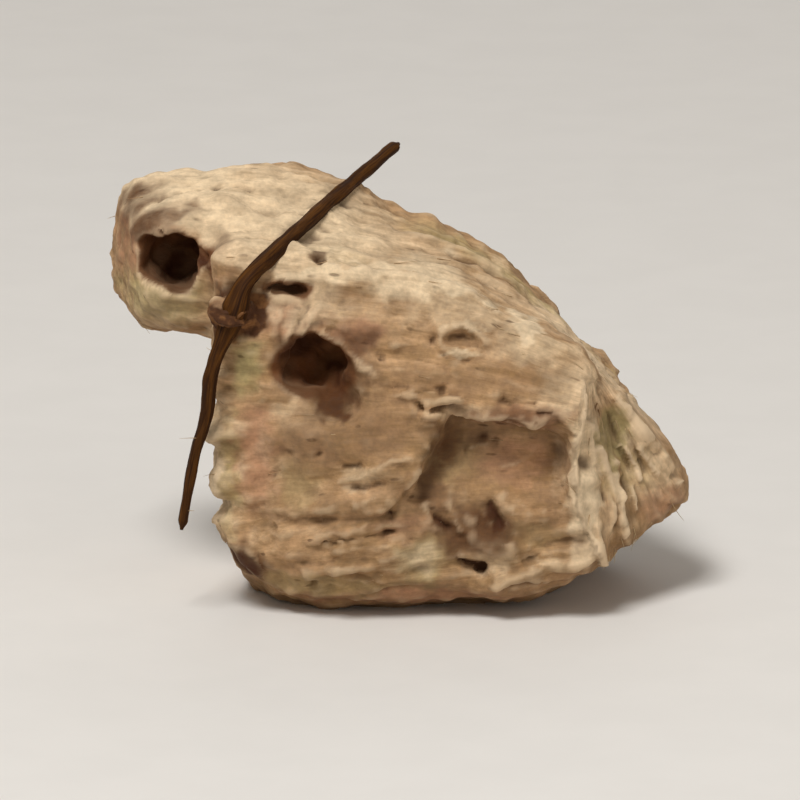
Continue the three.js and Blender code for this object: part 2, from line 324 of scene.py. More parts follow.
LEDGE_MARKS = (
    mark(0.2, 0.13, (0.8, 7.85), (1.9, 7.85)),
    mark(0.2, 0.15, (1.75, 7.3), (2.2, 7.4), (2.7, 7.3)),
    mark(0.16, 0.15, (2.9, 7.35), (3.8, 7.3), (4.6, 7.05)),
    mark(-0.34, 0.14, (0.5, 7.55)),
    mark(-0.2, 0.09, (0.95, 7.55), (1.6, 7.5)),
    mark(-0.14, 0.11, (2.3, 7.05), (3.5, 7.05), (4.3, 6.7), (5.1, 6.75)),
    mark(-0.15, 0.1, (1.25, 8.05), (1.85, 8.0)),
    mark(-0.17, 0.12, (3.3, 8.0), (4.4, 7.75)),
    mark(-0.2, 0.1, (4.55, 7.42), (4.95, 7.4)),
    mark(-0.22, 0.14, (5.25, 7.0)),
    mark(0.1, 0.12, (-0.6, 8.0), (0.3, 8.0)),
    mark(-0.12, 0.1, (-1.1, 8.3), (0.1, 8.35)),
)
RECESS_MARKS = (
    mark(-0.14, 0.14, (2.7, 6.3)),
    mark(-0.14, 0.14, (3.1, 6.1)),
    mark(-0.12, 0.13, (2.2, 5.9)),
    mark(0.1, 0.13, (2.4, 5.95), (2.8, 6.05)),
    mark(0.1, 0.16, (3.4, 5.3), (3.8, 5.45)),
    mark(0.08, 0.2, (4.1, 5.6), (4.8, 6.0)),
)
LOWER_RIGHT_MARKS = (
    mark(0.16, 0.34, (2.05, 4.3), (2.15, 3.8), (2.3, 3.2)),
    mark(-0.4, 0.2, (1.1, 3.65), (1.35, 3.35)),
    mark(0.14, 0.18, (0.75, 4.1), (0.9, 3.75)),
    mark(0.12, 0.18, (1.7, 3.9), (1.8, 3.3)),
    mark(-0.42, 0.16, (2.85, 4.1), (3.15, 3.4)),
    mark(-0.44, 0.19, (2.05, 2.1), (2.6, 1.9)),
    mark(0.14, 0.22, (3.4, 4.3), (3.6, 4.0)),
    mark(0.12, 0.2, (3.9, 4.2), (4.2, 3.9)),
    mark(0.12, 0.18, (4.8, 3.9)),
    mark(0.1, 0.18, (5.2, 4.35)),
    mark(0.16, 0.16, (2.0, 2.42), (2.6, 2.34)),
    mark(0.16, 0.36, (2.7, 2.7), (3.6, 2.7)),
    mark(0.1, 0.2, (1.5, 4.5), (1.6, 4.1)),
    mark(-0.16, 0.16, (1.6, 2.8), (2.0, 3.0)),
    mark(-0.15, 0.12, (4.0, 2.25), (4.6, 2.35)),
    mark(0.28, 0.18, (3.2, 1.35), (4.6, 1.9), (6.3, 2.25)),
    mark(-0.22, 0.13, (3.4, 1.15), (4.6, 1.4)),
    mark(-0.18, 0.12, (5.9, 1.5), (6.6, 1.6)),
)
LOWER_LEFT_MARKS = (
    mark(0.16, 0.15, (-2.2, 5.05), (-1.5, 5.15), (-0.8, 5.6), (0.1, 5.95)),
    mark(-0.14, 0.13, (-2.1, 5.55), (-1.5, 5.6)),
    mark(-0.12, 0.14, (-1.7, 4.8), (-0.7, 5.05)),
    mark(0.14, 0.13, (0.45, 5.55), (0.05, 4.85)),
    mark(0.16, 0.2, (-1.35, 4.35), (-1.05, 4.5)),
    mark(0.13, 0.18, (-0.9, 4.1)),
    mark(0.12, 0.2, (-0.6, 4.35)),
    mark(0.1, 0.18, (-1.7, 4.1)),
    mark(0.14, 0.2, (-2.9, 3.9), (-2.5, 3.95)),
    mark(-0.13, 0.15, (-4.3, 3.55), (-3.3, 3.6), (-1.8, 3.65), (-0.3, 3.9)),
    mark(-0.2, 0.15, (-0.4, 3.85)),
    mark(-0.2, 0.14, (-0.7, 3.25), (-0.4, 3.3)),
    mark(0.14, 0.14, (-3.0, 2.95), (-2.2, 3.2), (-1.4, 3.5)),
    mark(-0.28, 0.12, (-2.8, 2.85), (-2.45, 2.87)),
    mark(-0.14, 0.1, (-2.3, 3.0), (-1.75, 3.1)),
    mark(-0.18, 0.11, (-1.3, 3.15), (-0.5, 3.25)),
    mark(0.12, 0.18, (-2.4, 2.6), (-1.5, 2.7), (-0.2, 2.95)),
    mark(0.14, 0.22, (-3.4, 1.75)),
    mark(0.13, 0.2, (-2.2, 1.9), (-1.8, 2.0)),
    mark(0.12, 0.2, (-0.6, 2.3), (-0.3, 2.35)),
    mark(-0.1, 0.12, (-3.4, 2.1), (-2.4, 2.25)),
    mark(-0.1, 0.12, (-1.8, 1.75), (-0.8, 1.8)),
    mark(-0.22, 0.16, (-3.2, 1.2)),
    mark(-0.18, 0.15, (-2.9, 5.95)),
    mark(-0.12, 0.14, (-4.4, 5.8), (-4.0, 5.9)),
    mark(-0.12, 0.13, (-4.4, 5.1)),
    mark(-0.12, 0.16, (-5.1, 4.9)),
    mark(0.1, 0.2, (-5.6, 5.0), (-5.5, 5.3)),
    mark(0.1, 0.2, (-5.5, 3.9), (-4.7, 4.2)),
)
UPPER_MARKS = (
    mark(0.14, 0.16, *CREST),
    mark(-0.2, 0.15, (0.95, 9.75)),
    mark(0.18, 0.12, (1.2, 9.75), (1.4, 10.1), (1.95, 10.25), (2.5, 10.1), (2.75, 9.75)),
    mark(-0.11, 0.13, (1.65, 9.85), (2.25, 9.85)),
    mark(0.16, 0.12, (1.35, 9.55), (1.9, 9.42), (2.5, 9.55)),
    mark(-0.1, 0.12, (2.7, 10.3), (3.1, 9.95)),
    mark(-0.12, 0.12, (1.35, 9.3), (2.2, 9.2)),
    mark(0.12, 0.2, (-0.4, 10.2), (-0.3, 9.6)),
    mark(-0.1, 0.15, (-1.1, 9.9), (-0.7, 9.1)),
    mark(0.12, 0.15, (-1.1, 8.95), (-0.9, 8.6)),
    mark(0.16, 0.16, (-2.7, 10.1), (-2.0, 9.5), (-1.2, 8.9)),
    mark(0.15, 0.13, (-2.9, 10.9), (-3.6, 9.8)),
    mark(0.1, 0.11, (-3.6, 10.9), (-4.1, 9.85)),
    mark(0.08, 0.1, (-4.3, 10.7), (-4.6, 9.9)),
    mark(-0.1, 0.08, (-3.3, 10.9), (-3.85, 9.9)),
    mark(-0.08, 0.08, (-4.0, 10.9), (-4.35, 10.0)),
    mark(-0.36, 0.15, (-3.05, 9.9), (-2.95, 9.7)),
    mark(-0.34, 0.2, (-7.3, 12.05), (-6.85, 12.05)),
    mark(-0.22, 0.22, (-7.9, 11.3), (-7.95, 11.0)),
    mark(-0.2, 0.55, (-2.3, 8.2), (-2.2, 7.5)),
    mark(-0.14, 0.16, (-2.5, 10.1), (-2.0, 9.9)),
)
FAN_MARKS = (
    mark(0.24, 0.14, *FAN_RIDGE),
    mark(-0.2, 0.4, (6.9, 6.9), (7.1, 5.9)),
    mark(0.32, 0.12, (6.6, 5.9), (7.0, 4.9), (7.4, 3.95), (7.55, 2.9)),
    mark(0.28, 0.1, (7.4, 5.8), (7.65, 5.2), (8.0, 4.5)),
    mark(0.2, 0.09, (7.1, 5.3), (7.35, 4.8)),
    mark(0.24, 0.09, (7.95, 5.7), (8.3, 5.0), (8.6, 4.6)),
    mark(0.3, 0.12, (7.25, 7.35), (7.8, 6.6), (8.25, 5.9), (9.0, 5.3), (9.7, 4.8)),
    mark(0.24, 0.22, (9.6, 4.1)),
    mark(0.16, 0.1, (6.15, 6.9), (6.4, 6.0), (6.5, 5.4)),
    mark(0.16, 0.14, (6.25, 5.0)),
    mark(0.16, 0.14, (6.55, 4.85)),
    mark(-0.1, 0.12, (6.2, 5.6), (6.3, 5.3)),
    mark(-0.14, 0.12, (6.7, 4.6), (6.85, 4.1)),
    mark(-0.16, 0.12, (7.3, 5.0), (7.6, 4.2)),
    mark(-0.18, 0.13, (7.9, 5.0), (8.1, 4.6)),
    mark(-0.14, 0.12, (8.3, 5.6), (8.6, 5.2)),
    mark(-0.14, 0.12, (8.5, 6.3), (9.1, 5.5)),
    mark(-0.16, 0.12, (9.3, 4.4)),
    mark(0.16, 0.12, (6.35, 4.2), (6.65, 2.9), (6.75, 2.0)),
    mark(0.12, 0.14, (8.2, 4.0), (8.9, 3.6)),
    mark(0.16, 0.09, (7.75, 4.3), (7.95, 3.5)),
    mark(0.14, 0.1, (6.95, 4.3), (7.05, 3.6), (7.0, 2.9)),
    mark(0.14, 0.1, (8.8, 5.1), (9.3, 4.6)),
    mark(-0.12, 0.12, (7.2, 3.8), (7.25, 3.2)),
)
MARKS = {
    Side.FRONT: (
        *LEDGE_MARKS,
        *RECESS_MARKS,
        *LOWER_RIGHT_MARKS,
        *LOWER_LEFT_MARKS,
        *UPPER_MARKS,
        *FAN_MARKS,
    ),
    Side.TOP: (
        mark(-0.26, 0.24, (-2.9, -2.75)),
        mark(0.12, 0.2, (-2.0, -2.2), (0.4, -2.0), (3.4, -1.6)),
        mark(-0.14, 0.14, (-1.4, -1.5), (0.8, -1.1), (3.9, -0.9)),
        mark(0.12, 0.2, (-0.9, 0.2), (2.3, 0.5), (5.1, 0.7)),
        mark(-0.16, 0.16, (1.7, -0.2), (3.3, 0.1), (5.6, 0.0)),
        mark(-0.14, 0.13, (-8.4, 0.4), (-6.8, 0.9), (-5.4, 0.8)),
        mark(0.12, 0.2, (-8.6, 1.6), (-6.6, 1.9), (-5.0, 1.7)),
    ),
    Side.CHOPPED_END: (
        mark(-0.16, 0.12, (-2.9, 3.3), (-1.2, 4.3), (0.3, 5.0), (1.1, 6.4), (2.3, 7.4)),
        mark(-0.14, 0.1, (0.3, 5.0), (0.5, 3.6), (1.3, 2.3)),
        mark(-0.1, 0.09, (-1.2, 4.3), (-1.9, 5.6)),
        mark(0.12, 0.16, (-3.0, 6.3), (-0.6, 5.8)),
        mark(0.12, 0.16, (-1.6, 1.8), (0.4, 3.6)),
    ),
    Side.BACK: (
        mark(0.14, 0.22, (-4.6, 9.7), (-3.6, 10.2), (-2.6, 9.7)),
        mark(0.12, 0.2, (-2.5, 8.6), (-3.4, 7.8), (-4.4, 8.1)),
        mark(-0.2, 0.22, (-3.6, 9.0), (-3.3, 8.8)),
        mark(-0.2, 0.14, (-6.0, 6.0), (-2.0, 5.2), (0.4, 7.4), (3.8, 8.0)),
        mark(-0.18, 0.13, (-4.0, 3.0), (-1.0, 2.2), (1.6, 1.8), (5.0, 1.6)),
        mark(-0.18, 0.12, (2.6, 9.6), (4.6, 7.6), (6.6, 6.2)),
    ),
    Side.TIP_END: (
        mark(-0.2, 0.11, (0.6, 7.9), (1.3, 6.4), (1.0, 4.8), (1.8, 3.2)),
        mark(-0.16, 0.1, (1.3, 6.4), (2.6, 5.5), (3.3, 4.2)),
        mark(-0.14, 0.1, (1.0, 4.8), (-0.2, 3.7), (-0.7, 2.4)),
        mark(-0.12, 0.12, (2.2, 7.8), (2.6, 7.2)),
        mark(0.14, 0.2, (-0.7, 6.9), (-0.1, 5.4)),
        mark(0.14, 0.18, (2.5, 7.6), (3.3, 6.2)),
        mark(0.12, 0.22, (2.5, 3.6), (3.3, 2.4)),
    ),
}
# Cream stains, mostly the wood's own paler colour. The thin ones along the crest and round the ring scar's
# rims are painted highlights.
PALE = {
    Side.FRONT: (
        Stain(0.9, (-6.7, 4.5), (0.55, 3.2)),
        Stain(1.0, (6.15, 4.8), (0.55, 2.8)),
        Stain(0.6, (7.9, 6.3), (0.35, 0.9)),
        Stain(0.45, (8.9, 4.9), (1.0, 1.2)),
        Stain(0.35, (7.2, 3.6), (1.1, 1.2)),
        Stain(0.5, (3.1, 2.2), (0.9, 0.5)),
        Stain(0.55, (4.8, 9.8), (1.9, 0.9)),
        Stain(0.4, (5.2, 2.1), (1.3, 0.3)),
        Stain(0.5, (5.9, 8.2), (1.4, 1.0)),
        Stain(0.5, (2.2, 10.8), (2.4, 0.7)),
        Stain(0.8, (-2.0, 11.9), (2.4, 0.35)),
        Stain(0.45, (-1.5, 5.2), (0.7, 0.3)),
        Stain(0.6, (-3.4, 10.4), (0.5, 0.6)),
        Stain(0.4, (1.9, 7.5), (1.1, 0.25)),
        Stain(0.5, (-6.9, 13.2), (0.9, 0.9)),
        Stain(0.3, (-7.6, 10.2), (2.2, 0.7)),
        Stain(0.55, (0.5, 2.2), (0.8, 0.6)),
        Stain(0.8, (0.3, 11.4), (1.7, 0.55)),
        Stain(0.4, (-4.1, 7.5), (0.5, 0.35)),
        Stain(0.75, (1.9, 10.25), (0.8, 0.14)),
        Stain(0.65, (1.9, 9.4), (0.7, 0.12)),
        Stain(0.55, (-3.0, 11.2), (0.9, 0.8)),
    ),
    Side.TOP: (
        Stain(0.75, (-4.4, -0.6), (4.6, 3.4)),
        Stain(0.9, (-7.6, 1.4), (2.6, 2.6)),
        Stain(0.4, (0.2, -1.4), (2.8, 2.2)),
        Stain(0.75, (0.8, -1.6), (1.3, 1.2)),
        Stain(0.3, (4.0, -1.8), (2.6, 1.6)),
        Stain(0.6, (6.4, -0.6), (2.4, 2.4)),
    ),
    Side.CHOPPED_END: (Stain(0.75, (-0.4, 5.4), (3.4, 4.2)),),
}
KHAKI = {
    Side.FRONT: (
        Stain(0.8, (-5.4, 8.8), (0.55, 0.9)),
        Stain(0.55, (-6.0, 4.8), (0.35, 2.2)),
        Stain(0.6, (0.6, 2.2), (0.9, 0.9)),
        Stain(0.95, (7.1, 6.0), (0.65, 1.2)),
        Stain(0.45, (-2.6, 1.2), (2.6, 0.5)),
        Stain(0.4, (1.4, 5.8), (0.9, 1.1)),
        Stain(0.35, (-3.6, 4.8), (0.9, 0.9)),
        Stain(0.35, (4.2, 3.1), (1.4, 0.5)),
        Stain(0.7, (-8.4, 10.4), (1.6, 1.0)),
        Stain(0.5, (7.6, 4.9), (0.9, 0.9)),
    ),
    Side.TOP: (Stain(0.4, (-2.2, -2.3), (1.2, 0.8)), Stain(0.6, (3.2, 1.4), (3.2, 1.3))),
}
ROSY = {
    Side.FRONT: (
        Stain(0.6, (-5.0, 5.6), (0.8, 2.0)),
        Stain(0.6, (-3.8, 10.4), (1.3, 0.7)),
        Stain(0.6, (3.8, 7.2), (1.8, 0.5)),
        Stain(0.6, (-0.2, 0.7), (4.2, 0.4)),
        Stain(0.5, (8.9, 3.6), (0.9, 0.6)),
        Stain(0.5, (3.9, 5.4), (1.3, 0.9)),
        Stain(0.95, (-9.0, 13.1), (1.4, 0.95)),
        Stain(0.6, (-9.7, 11.8), (0.6, 1.2)),
        Stain(0.3, (-6.2, 11.5), (0.6, 0.7)),
        # Painted shadow of the arm's overhang above its hole, with the shade stain of the same place.
        Stain(0.8, (-7.95, 13.45), (1.1, 0.35)),
        Stain(0.35, (0.0, 3.4), (1.2, 0.6)),
        Stain(0.7, (-1.7, 10.0), (1.0, 0.5)),
    ),
    Side.TOP: (Stain(0.6, (-9.2, -1.6), (0.9, 0.8)),),
    Side.CHOPPED_END: (Stain(0.6, (-2.0, 13.0), (1.2, 1.0)),),
}
# Dark brown, mostly painted shade: in and below the pit, under the ledge and in the torn strip below it,
# under the arm's overhang, along the bottom edge where the chunk meets the floor, and over the split face's
# shaded parts. A few, such as the patch low on the left, are the wood's own dark stains.
SHADE = {
    Side.FRONT: (
        Stain(0.75, (1.4, 6.2), (0.85, 1.0)),
        Stain(0.6, (0.9, 5.2), (0.6, 0.9)),
        Stain(0.45, (2.4, 6.5), (1.2, 0.4)),
        Stain(0.35, (4.9, 6.3), (0.8, 0.4)),
        Stain(0.45, (5.35, 5.6), (0.35, 1.0)),
        Stain(0.55, (1.0, 4.3), (0.8, 0.5)),
        Stain(0.35, (7.0, 6.1), (0.5, 0.9)),
        Stain(0.4, (-9.0, 13.0), (1.0, 0.6)),
        Stain(0.6, (-1.7, 9.8), (0.85, 0.5)),
        Stain(0.3, (4.2, 8.5), (1.6, 0.5)),
        Stain(0.4, (4.5, 3.4), (1.2, 0.5)),
        Stain(0.95, (-5.5, 1.8), (0.95, 0.75)),
        Stain(0.8, (-9.2, 13.1), (1.3, 0.95)),
        Stain(0.95, (-2.9, 8.9), (1.3, 1.15)),
        Stain(0.6, (-3.9, 9.2), (0.8, 0.7)),
        Stain(0.75, (-2.3, 7.8), (0.7, 1.0)),
        Stain(0.35, (-2.6, 3.5), (2.2, 0.2)),
        Stain(0.42, (-1.7, 6.9), (2.3, 1.1)),
        Stain(0.25, (1.0, 8.5), (2.2, 0.7)),
        Stain(0.28, (-2.4, 3.9), (2.4, 0.8)),
        Stain(0.35, (0.3, 3.8), (0.9, 0.9)),
        Stain(0.32, (2.2, 5.4), (1.6, 1.0)),
        Stain(0.28, (4.8, 3.9), (1.1, 0.7)),
        Stain(0.28, (-3.7, 1.6), (1.9, 0.7)),
        Stain(0.3, (-0.5, 7.5), (1.3, 0.8)),
        Stain(0.35, (-3.4, 0.3), (2.4, 0.6)),
        Stain(1.0, (-2.3, 7.4), (0.55, 0.5)),
        Stain(0.5, (-1.9, 9.3), (0.8, 0.6)),
        Stain(0.6, (-7.95, 13.4), (1.0, 0.3)),
        Stain(0.45, (2.1, 6.0), (0.7, 0.5)),
        Stain(0.55, (-1.7, 8.6), (0.75, 0.7)),
        Stain(0.8, (2.4, 3.2), (1.7, 0.9)),
        Stain(0.45, (-3.2, 6.2), (1.3, 1.0)),
        Stain(0.4, (6.0, 3.0), (0.5, 0.5)),
        Stain(0.35, (-0.6, 8.4), (0.8, 0.4)),
        Stain(0.6, (3.4, 7.25), (2.0, 0.4)),
    ),
    Side.TOP: (Stain(0.8, (-2.9, -2.75), (0.3, 0.3)),),
    Side.CHOPPED_END: (Stain(0.5, (-2.0, 13.0), (1.0, 0.9)),),
}
# Nearly black brown: painted shade deep in the pit, at the corners of the arm's hole and in small slits and
# holes on the split face. The patch low on the left is dark rot.
DARK_ROT_AND_PAINTED_HOLE_SHADE = {
    Side.FRONT: (
        Stain(0.9, (-3.5, 9.3), (0.8, 0.5)),
        Stain(0.6, (-2.2, 8.3), (0.3, 0.3)),
        Stain(0.38, (-2.25, 7.5), (0.45, 0.4)),
        Stain(1.2, (-7.15, 12.0), (0.45, 0.36)),
        Stain(0.7, (3.05, 3.7), (0.22, 0.45)),
        Stain(0.6, (1.2, 3.5), (0.25, 0.25)),
        Stain(0.7, (-7.9, 11.2), (0.35, 0.3)),
        Stain(0.85, (-5.5, 1.7), (0.62, 0.6)),
    ),
}
CALM = {
    Side.FRONT: (
        Stain(0.65, (-2.4, 6.2), (2.4, 1.7)),
        Stain(0.5, (3.6, 9.2), (2.6, 1.2)),
        Stain(0.5, (-1.6, 9.9), (1.2, 0.8)),
        Stain(0.85, (-9.0, 13.2), (1.4, 1.2)),
    ),
    Side.TOP: (
        Stain(0.5, (1.0, -1.6), (2.4, 1.4)),
        Stain(0.8, (-9.0, -1.6), (1.4, 1.2)),
        Stain(0.3, (7.6, 0.4), (1.9, 3.6)),
    ),
    Side.CHOPPED_END: (Stain(0.8, (-2.0, 13.0), (1.2, 1.1)),),
}


@dataclass(frozen=True)
class Ball:
    """A long ball in the wood, round which something has grown or rotted."""

    start: Triple
    end: Triple
    half_width: float
    half_height: float

    def middle(self) -> Array:
        """The ball's middle."""
        return (np.array(self.start) + self.end) / 2

    def away(self, points: Array) -> Array:
        """How far each point is from the ball's middle: 1 on its skin."""
        radii = (self.half_width, math.dist(self.start, self.end) / 2, self.half_height)
        return np.linalg.norm((points - self.middle()) / radii, axis=1)

    def walls(self, points: Array, normals: Array) -> Array:
        """How surely each point is on the wall of the hole that the ball cut, from 0 to 1."""
        inward = dots(normals, unit(self.middle() - points))
        return rise(self.away(points), 1.45, 1.2) * rise(inward, -0.1, 0.3)


KNOT_BALL = Ball((-5.95, -4.9, 10.65), (-5.75, -3.1, 10.95), 0.95, 0.72)
ARM_HOLE = Ball((-8.35, -2.6, 12.0), (-7.5, 1.2, 11.6), 1.28, 1.15)
PIT = Ball((-3.2, -5.2, 8.75), (-3.0, -2.1, 9.05), 1.25, 1.0)
CRACK = Ball((-4.1, -4.5, 11.2), (-4.0, -2.5, 11.45), 0.85, 0.3)
BARK_PATCH = Ball((-6.2, -4.2, 1.6), (-5.2, -2.8, 1.9), 1.0, 0.85)
ROTTED_HOLES = (ARM_HOLE, PIT, CRACK)


def painted(stains: dict[Side, tuple[Stain, ...]], points: Array, facing: dict[Side, Array]) -> Array:
    """How strongly a kind of stain covers each point.

    Args:
        stains: The stains on each side.
        points: Where to read them. Small shifts in these give ragged edges.
        facing: How squarely each point faces each side.

    Returns:
        One number for each point, from 0 to 1.
    """
    covered = np.zeros(len(points))
    for side, spots in stains.items():
        drawn = side.flatten(points)
        for spot in spots:
            away = np.linalg.norm((drawn - spot.centre) / spot.radii, axis=1)
            covered = np.maximum(covered, spot.strength * facing[side] * np.exp(-(away**4) * 0.7))
    return covered


# Meshes


class Surface:
    """A mesh's points, normals and neighbours as arrays."""

    def __init__(self, mesh: bpy.types.Mesh) -> None:
        """Reads the mesh.

        Args:
            mesh: The mesh, which gets its points back in metres at the end.
        """
        self.mesh = mesh
        self.points = self._read(mesh.vertices, "co", 3, np.float32).astype(float)
        self.edges = self._read(mesh.edges, "vertices", 2, np.int32)
        self.neighbours = np.maximum(np.bincount(self.edges.ravel(), minlength=len(self.points)), 1)

    @staticmethod
    def _read(items: bpy.types.bpy_prop_collection, name: str, width: int, kind: type) -> Array:
        """One row of numbers for each item.

        Args:
            items: The mesh's vertices or edges.
            name: What is read of each.
            width: How many numbers that is.
            kind: The type of the numbers.

        Returns:
            The rows.
        """
        flat = np.empty(len(items) * width, kind)
        items.foreach_get(name, flat)
        return flat.reshape(-1, width)

    def _write(self, scale: float) -> None:
        """Puts the points in the mesh, times a scale."""
        self.mesh.vertices.foreach_set("co", (self.points * scale).astype(np.float32).ravel())
        self.mesh.update()

    def normals(self) -> Array:
        """The mesh's point normals."""
        self._write(1)
        return self._read(self.mesh.vertices, "normal", 3, np.float32).astype(float)

    def in_metres(self) -> None:
        """Ends the work in millimetres: the mesh gets its points in metres."""
        self._write(MM)

    def spread(self, values: Array, rounds: int) -> Array:
        """Values evened out with their neighbours'.

        Args:
            values: One number or one row for each point.
            rounds: How often each value takes on its neighbours' mean.

        Returns:
            The evened values.
        """
        start, end = self.edges.T
        flat = values.reshape(len(self.points), -1).astype(float)
        for _ in range(rounds):
            for column in flat.T:
                total = np.bincount(start, column[end], len(column))
                total += np.bincount(end, column[start], len(column))
                column[:] = 0.5 * column + 0.5 * total / self.neighbours
        return flat.reshape(values.shape)

    def push(self, heights: Array) -> None:
        """Moves each point outwards by its height."""
        self.points += self.normals() * heights[:, None]

    def relief(self, rounds: int) -> Array:
        """How far each point stands above its evened surroundings."""
        return dots(self.points - self.spread(self.points, rounds), self.normals())

    def tag(self, name: str, values: Array) -> None:
        """Keeps a number or a vector for each point, for the material.

        Args:
            name: The attribute's name.
            values: One number or one row of three for each point.
        """
        kind, field = ("FLOAT_VECTOR", "vector") if values.ndim == 2 else ("FLOAT", "value")
        attribute = self.mesh.attributes.new(name, kind, "POINT")
        attribute.data.foreach_set(field, values.astype(np.float32).ravel())


def placed(name: str, mesh: bpy.types.Mesh, material: bpy.types.Material | None = None) -> bpy.types.Object:
    """An object for a mesh, in the scene, smooth shaded.

    Args:
        name: The object's name.
        mesh: Its mesh.
        material: Its finish, if it has one.

    Returns:
        The object, at the origin.
    """
    obj = bpy.data.objects.new(name, mesh)
    bpy.context.scene.collection.objects.link(obj)
    mesh.shade_smooth()
    if material:
        mesh.materials.append(material)
    return obj


def upright_rods(name: str, count: int, sides: int, steps: int) -> bpy.types.Mesh:
    """Straight rods to bend later, one above the other, each with a radius and a height of 1.

    Args:
        name: The mesh's name.
        count: How many rods. The foot of each is 2 above the foot of the last.
        sides: Sides of each rod.
        steps: Stretches of each rod, from foot to top.

    Returns:
        A mesh that holds them all.
    """
    bm = bmesh.new()
    for number in range(count):
        middle = Matrix.Translation((0, 0, 2 * number + 0.5))
        bmesh.ops.create_cone(
            bm, cap_ends=True, cap_tris=True, segments=sides, radius1=1, radius2=1, depth=1, matrix=middle
        )
    long_edges = [edge for edge in bm.edges if abs(edge.verts[0].co.z - edge.verts[1].co.z) > 0.5]
    bmesh.ops.subdivide_edges(bm, edges=long_edges, cuts=steps - 1, use_grid_fill=True)
    mesh = bpy.data.meshes.new(name)
    bm.to_mesh(mesh)
    bm.free()
    return mesh


@dataclass(frozen=True)
class Fibres:
    """How the wood's fibres run: along X, following the crest above, and fanned out over the buttress."""

    level_below: float = 3.0
    sloping_above: float = 10.0
    fall: float = 0.1
    steepening: float = 0.04
    climb: float = 0.13
    fan_depth: float = 1.1
    fan_spread: float = 4.2
    fan_squeeze: float = 0.35
    fan_apart: Triple = (0.0, 20.0, 30.0)
    look_ahead: float = 0.05

    def in_fan(self, points: Array) -> Array:
        """Finds the points that belong to the fan.

        Args:
            points: Points of the chunk.

        Returns:
            Whether each does.
        """
        ridge_x, ridge_z = np.transpose(FAN_RIDGE)
        right_of_ridge = points[:, 0] > np.interp(-points[:, 2], -ridge_z, ridge_x)
        behind = (FAN_FACE[0] - points) @ np.array(FAN_FACE[1])
        return right_of_ridge & (points[:, 2] < FAN_HEAD[1] - 0.4) & (behind < self.fan_depth)

    def space(self, points: Array) -> Array:
        """Coordinates in which the fibres run along the first axis.

        Args:
            points: Points of the chunk.

        Returns:
            For each point its place along the fibres, and two across them, all about true to size.
        """
        x, y, z = points.T
        high = rise(z, self.level_below, self.sloping_above)
        fall = self.fall * x + self.steepening * np.maximum(x, 0) ** 2
        block = np.stack([x, y, z + high * fall - (1 - high) * self.climb * x], axis=1)
        out = points[:, [0, 2]] - FAN_HEAD
        angle = np.arctan2(out[:, 0], -out[:, 1])
        fan = np.stack([np.hypot(*out.T), self.fan_squeeze * y, self.fan_spread * angle], axis=1)
        return np.where(self.in_fan(points)[:, None], fan + self.fan_apart, block)

    def direction(self, points: Array, normals: Array) -> Array:
        """Which way the fibres run, along the surface.

        Args:
            points: Points of the chunk.
            normals: The surface's normal at each.

        Returns:
            One direction for each point.
        """
        level = np.zeros(len(points))
        here = self.space(points)[:, 2]
        above = self.space(points + (0.0, 0.0, self.look_ahead))[:, 2]
        beside = self.space(points + (self.look_ahead, 0.0, 0.0))[:, 2]
        block = np.stack([above - here, level, here - beside], axis=1)
        fan = np.stack([points[:, 0] - FAN_HEAD[0], level, points[:, 2] - FAN_HEAD[1]], axis=1)
        run = unit(np.where(self.in_fan(points)[:, None], fan, block))
        return unit(run - normals * dots(run, normals)[:, None])


@dataclass(frozen=True)
class RootletPath:
    """The centre line of one rootlet, the same as in the solid."""

    name: str
    corners: tuple[Triple, ...]
    base_radius: float
    tip_radius: float

    def line(self, steps: int) -> Array:
        """Points along it."""
        return smooth_path(self.corners, steps)


KNOT = (-5.8, -4.2, 10.7)
ROOTLET_PATHS = (
    RootletPath(
        name="rootlet_upper",
        corners=(KNOT, (-5.4, -4.1, 11.8), (-4.4, -2.8, 12.55), (-1.6, 2.3, 13.9), (-0.2, 4.8, 14.5)),
        base_radius=0.3,
        tip_radius=0.195,
    ),
    RootletPath(
        name="rootlet_lower",
        corners=(KNOT, (-6.5, -4.5, 8.9), (-6.75, -4.4, 7.1), (-7.1, -4.3, 5.9), (-7.6, -4.0, 3.1)),
        base_radius=0.27,
        tip_radius=0.15,
    ),
)


@dataclass(frozen=True)
class Zones:
    """The height of the marks drawn at each point, and from 0 to 1 how far it is each kind of surface."""

    drawn: Array
    bark: Array
    recess: Array
    rotted: Array
    calm: Array
    fan: Array

    def split_wood(self) -> Array:
        """How strongly torn fibres show."""
        bare = (1 - self.bark) * (1 - 0.7 * self.rotted)
        return bare * (1 - 0.75 * self.recess) * (1 - self.calm)


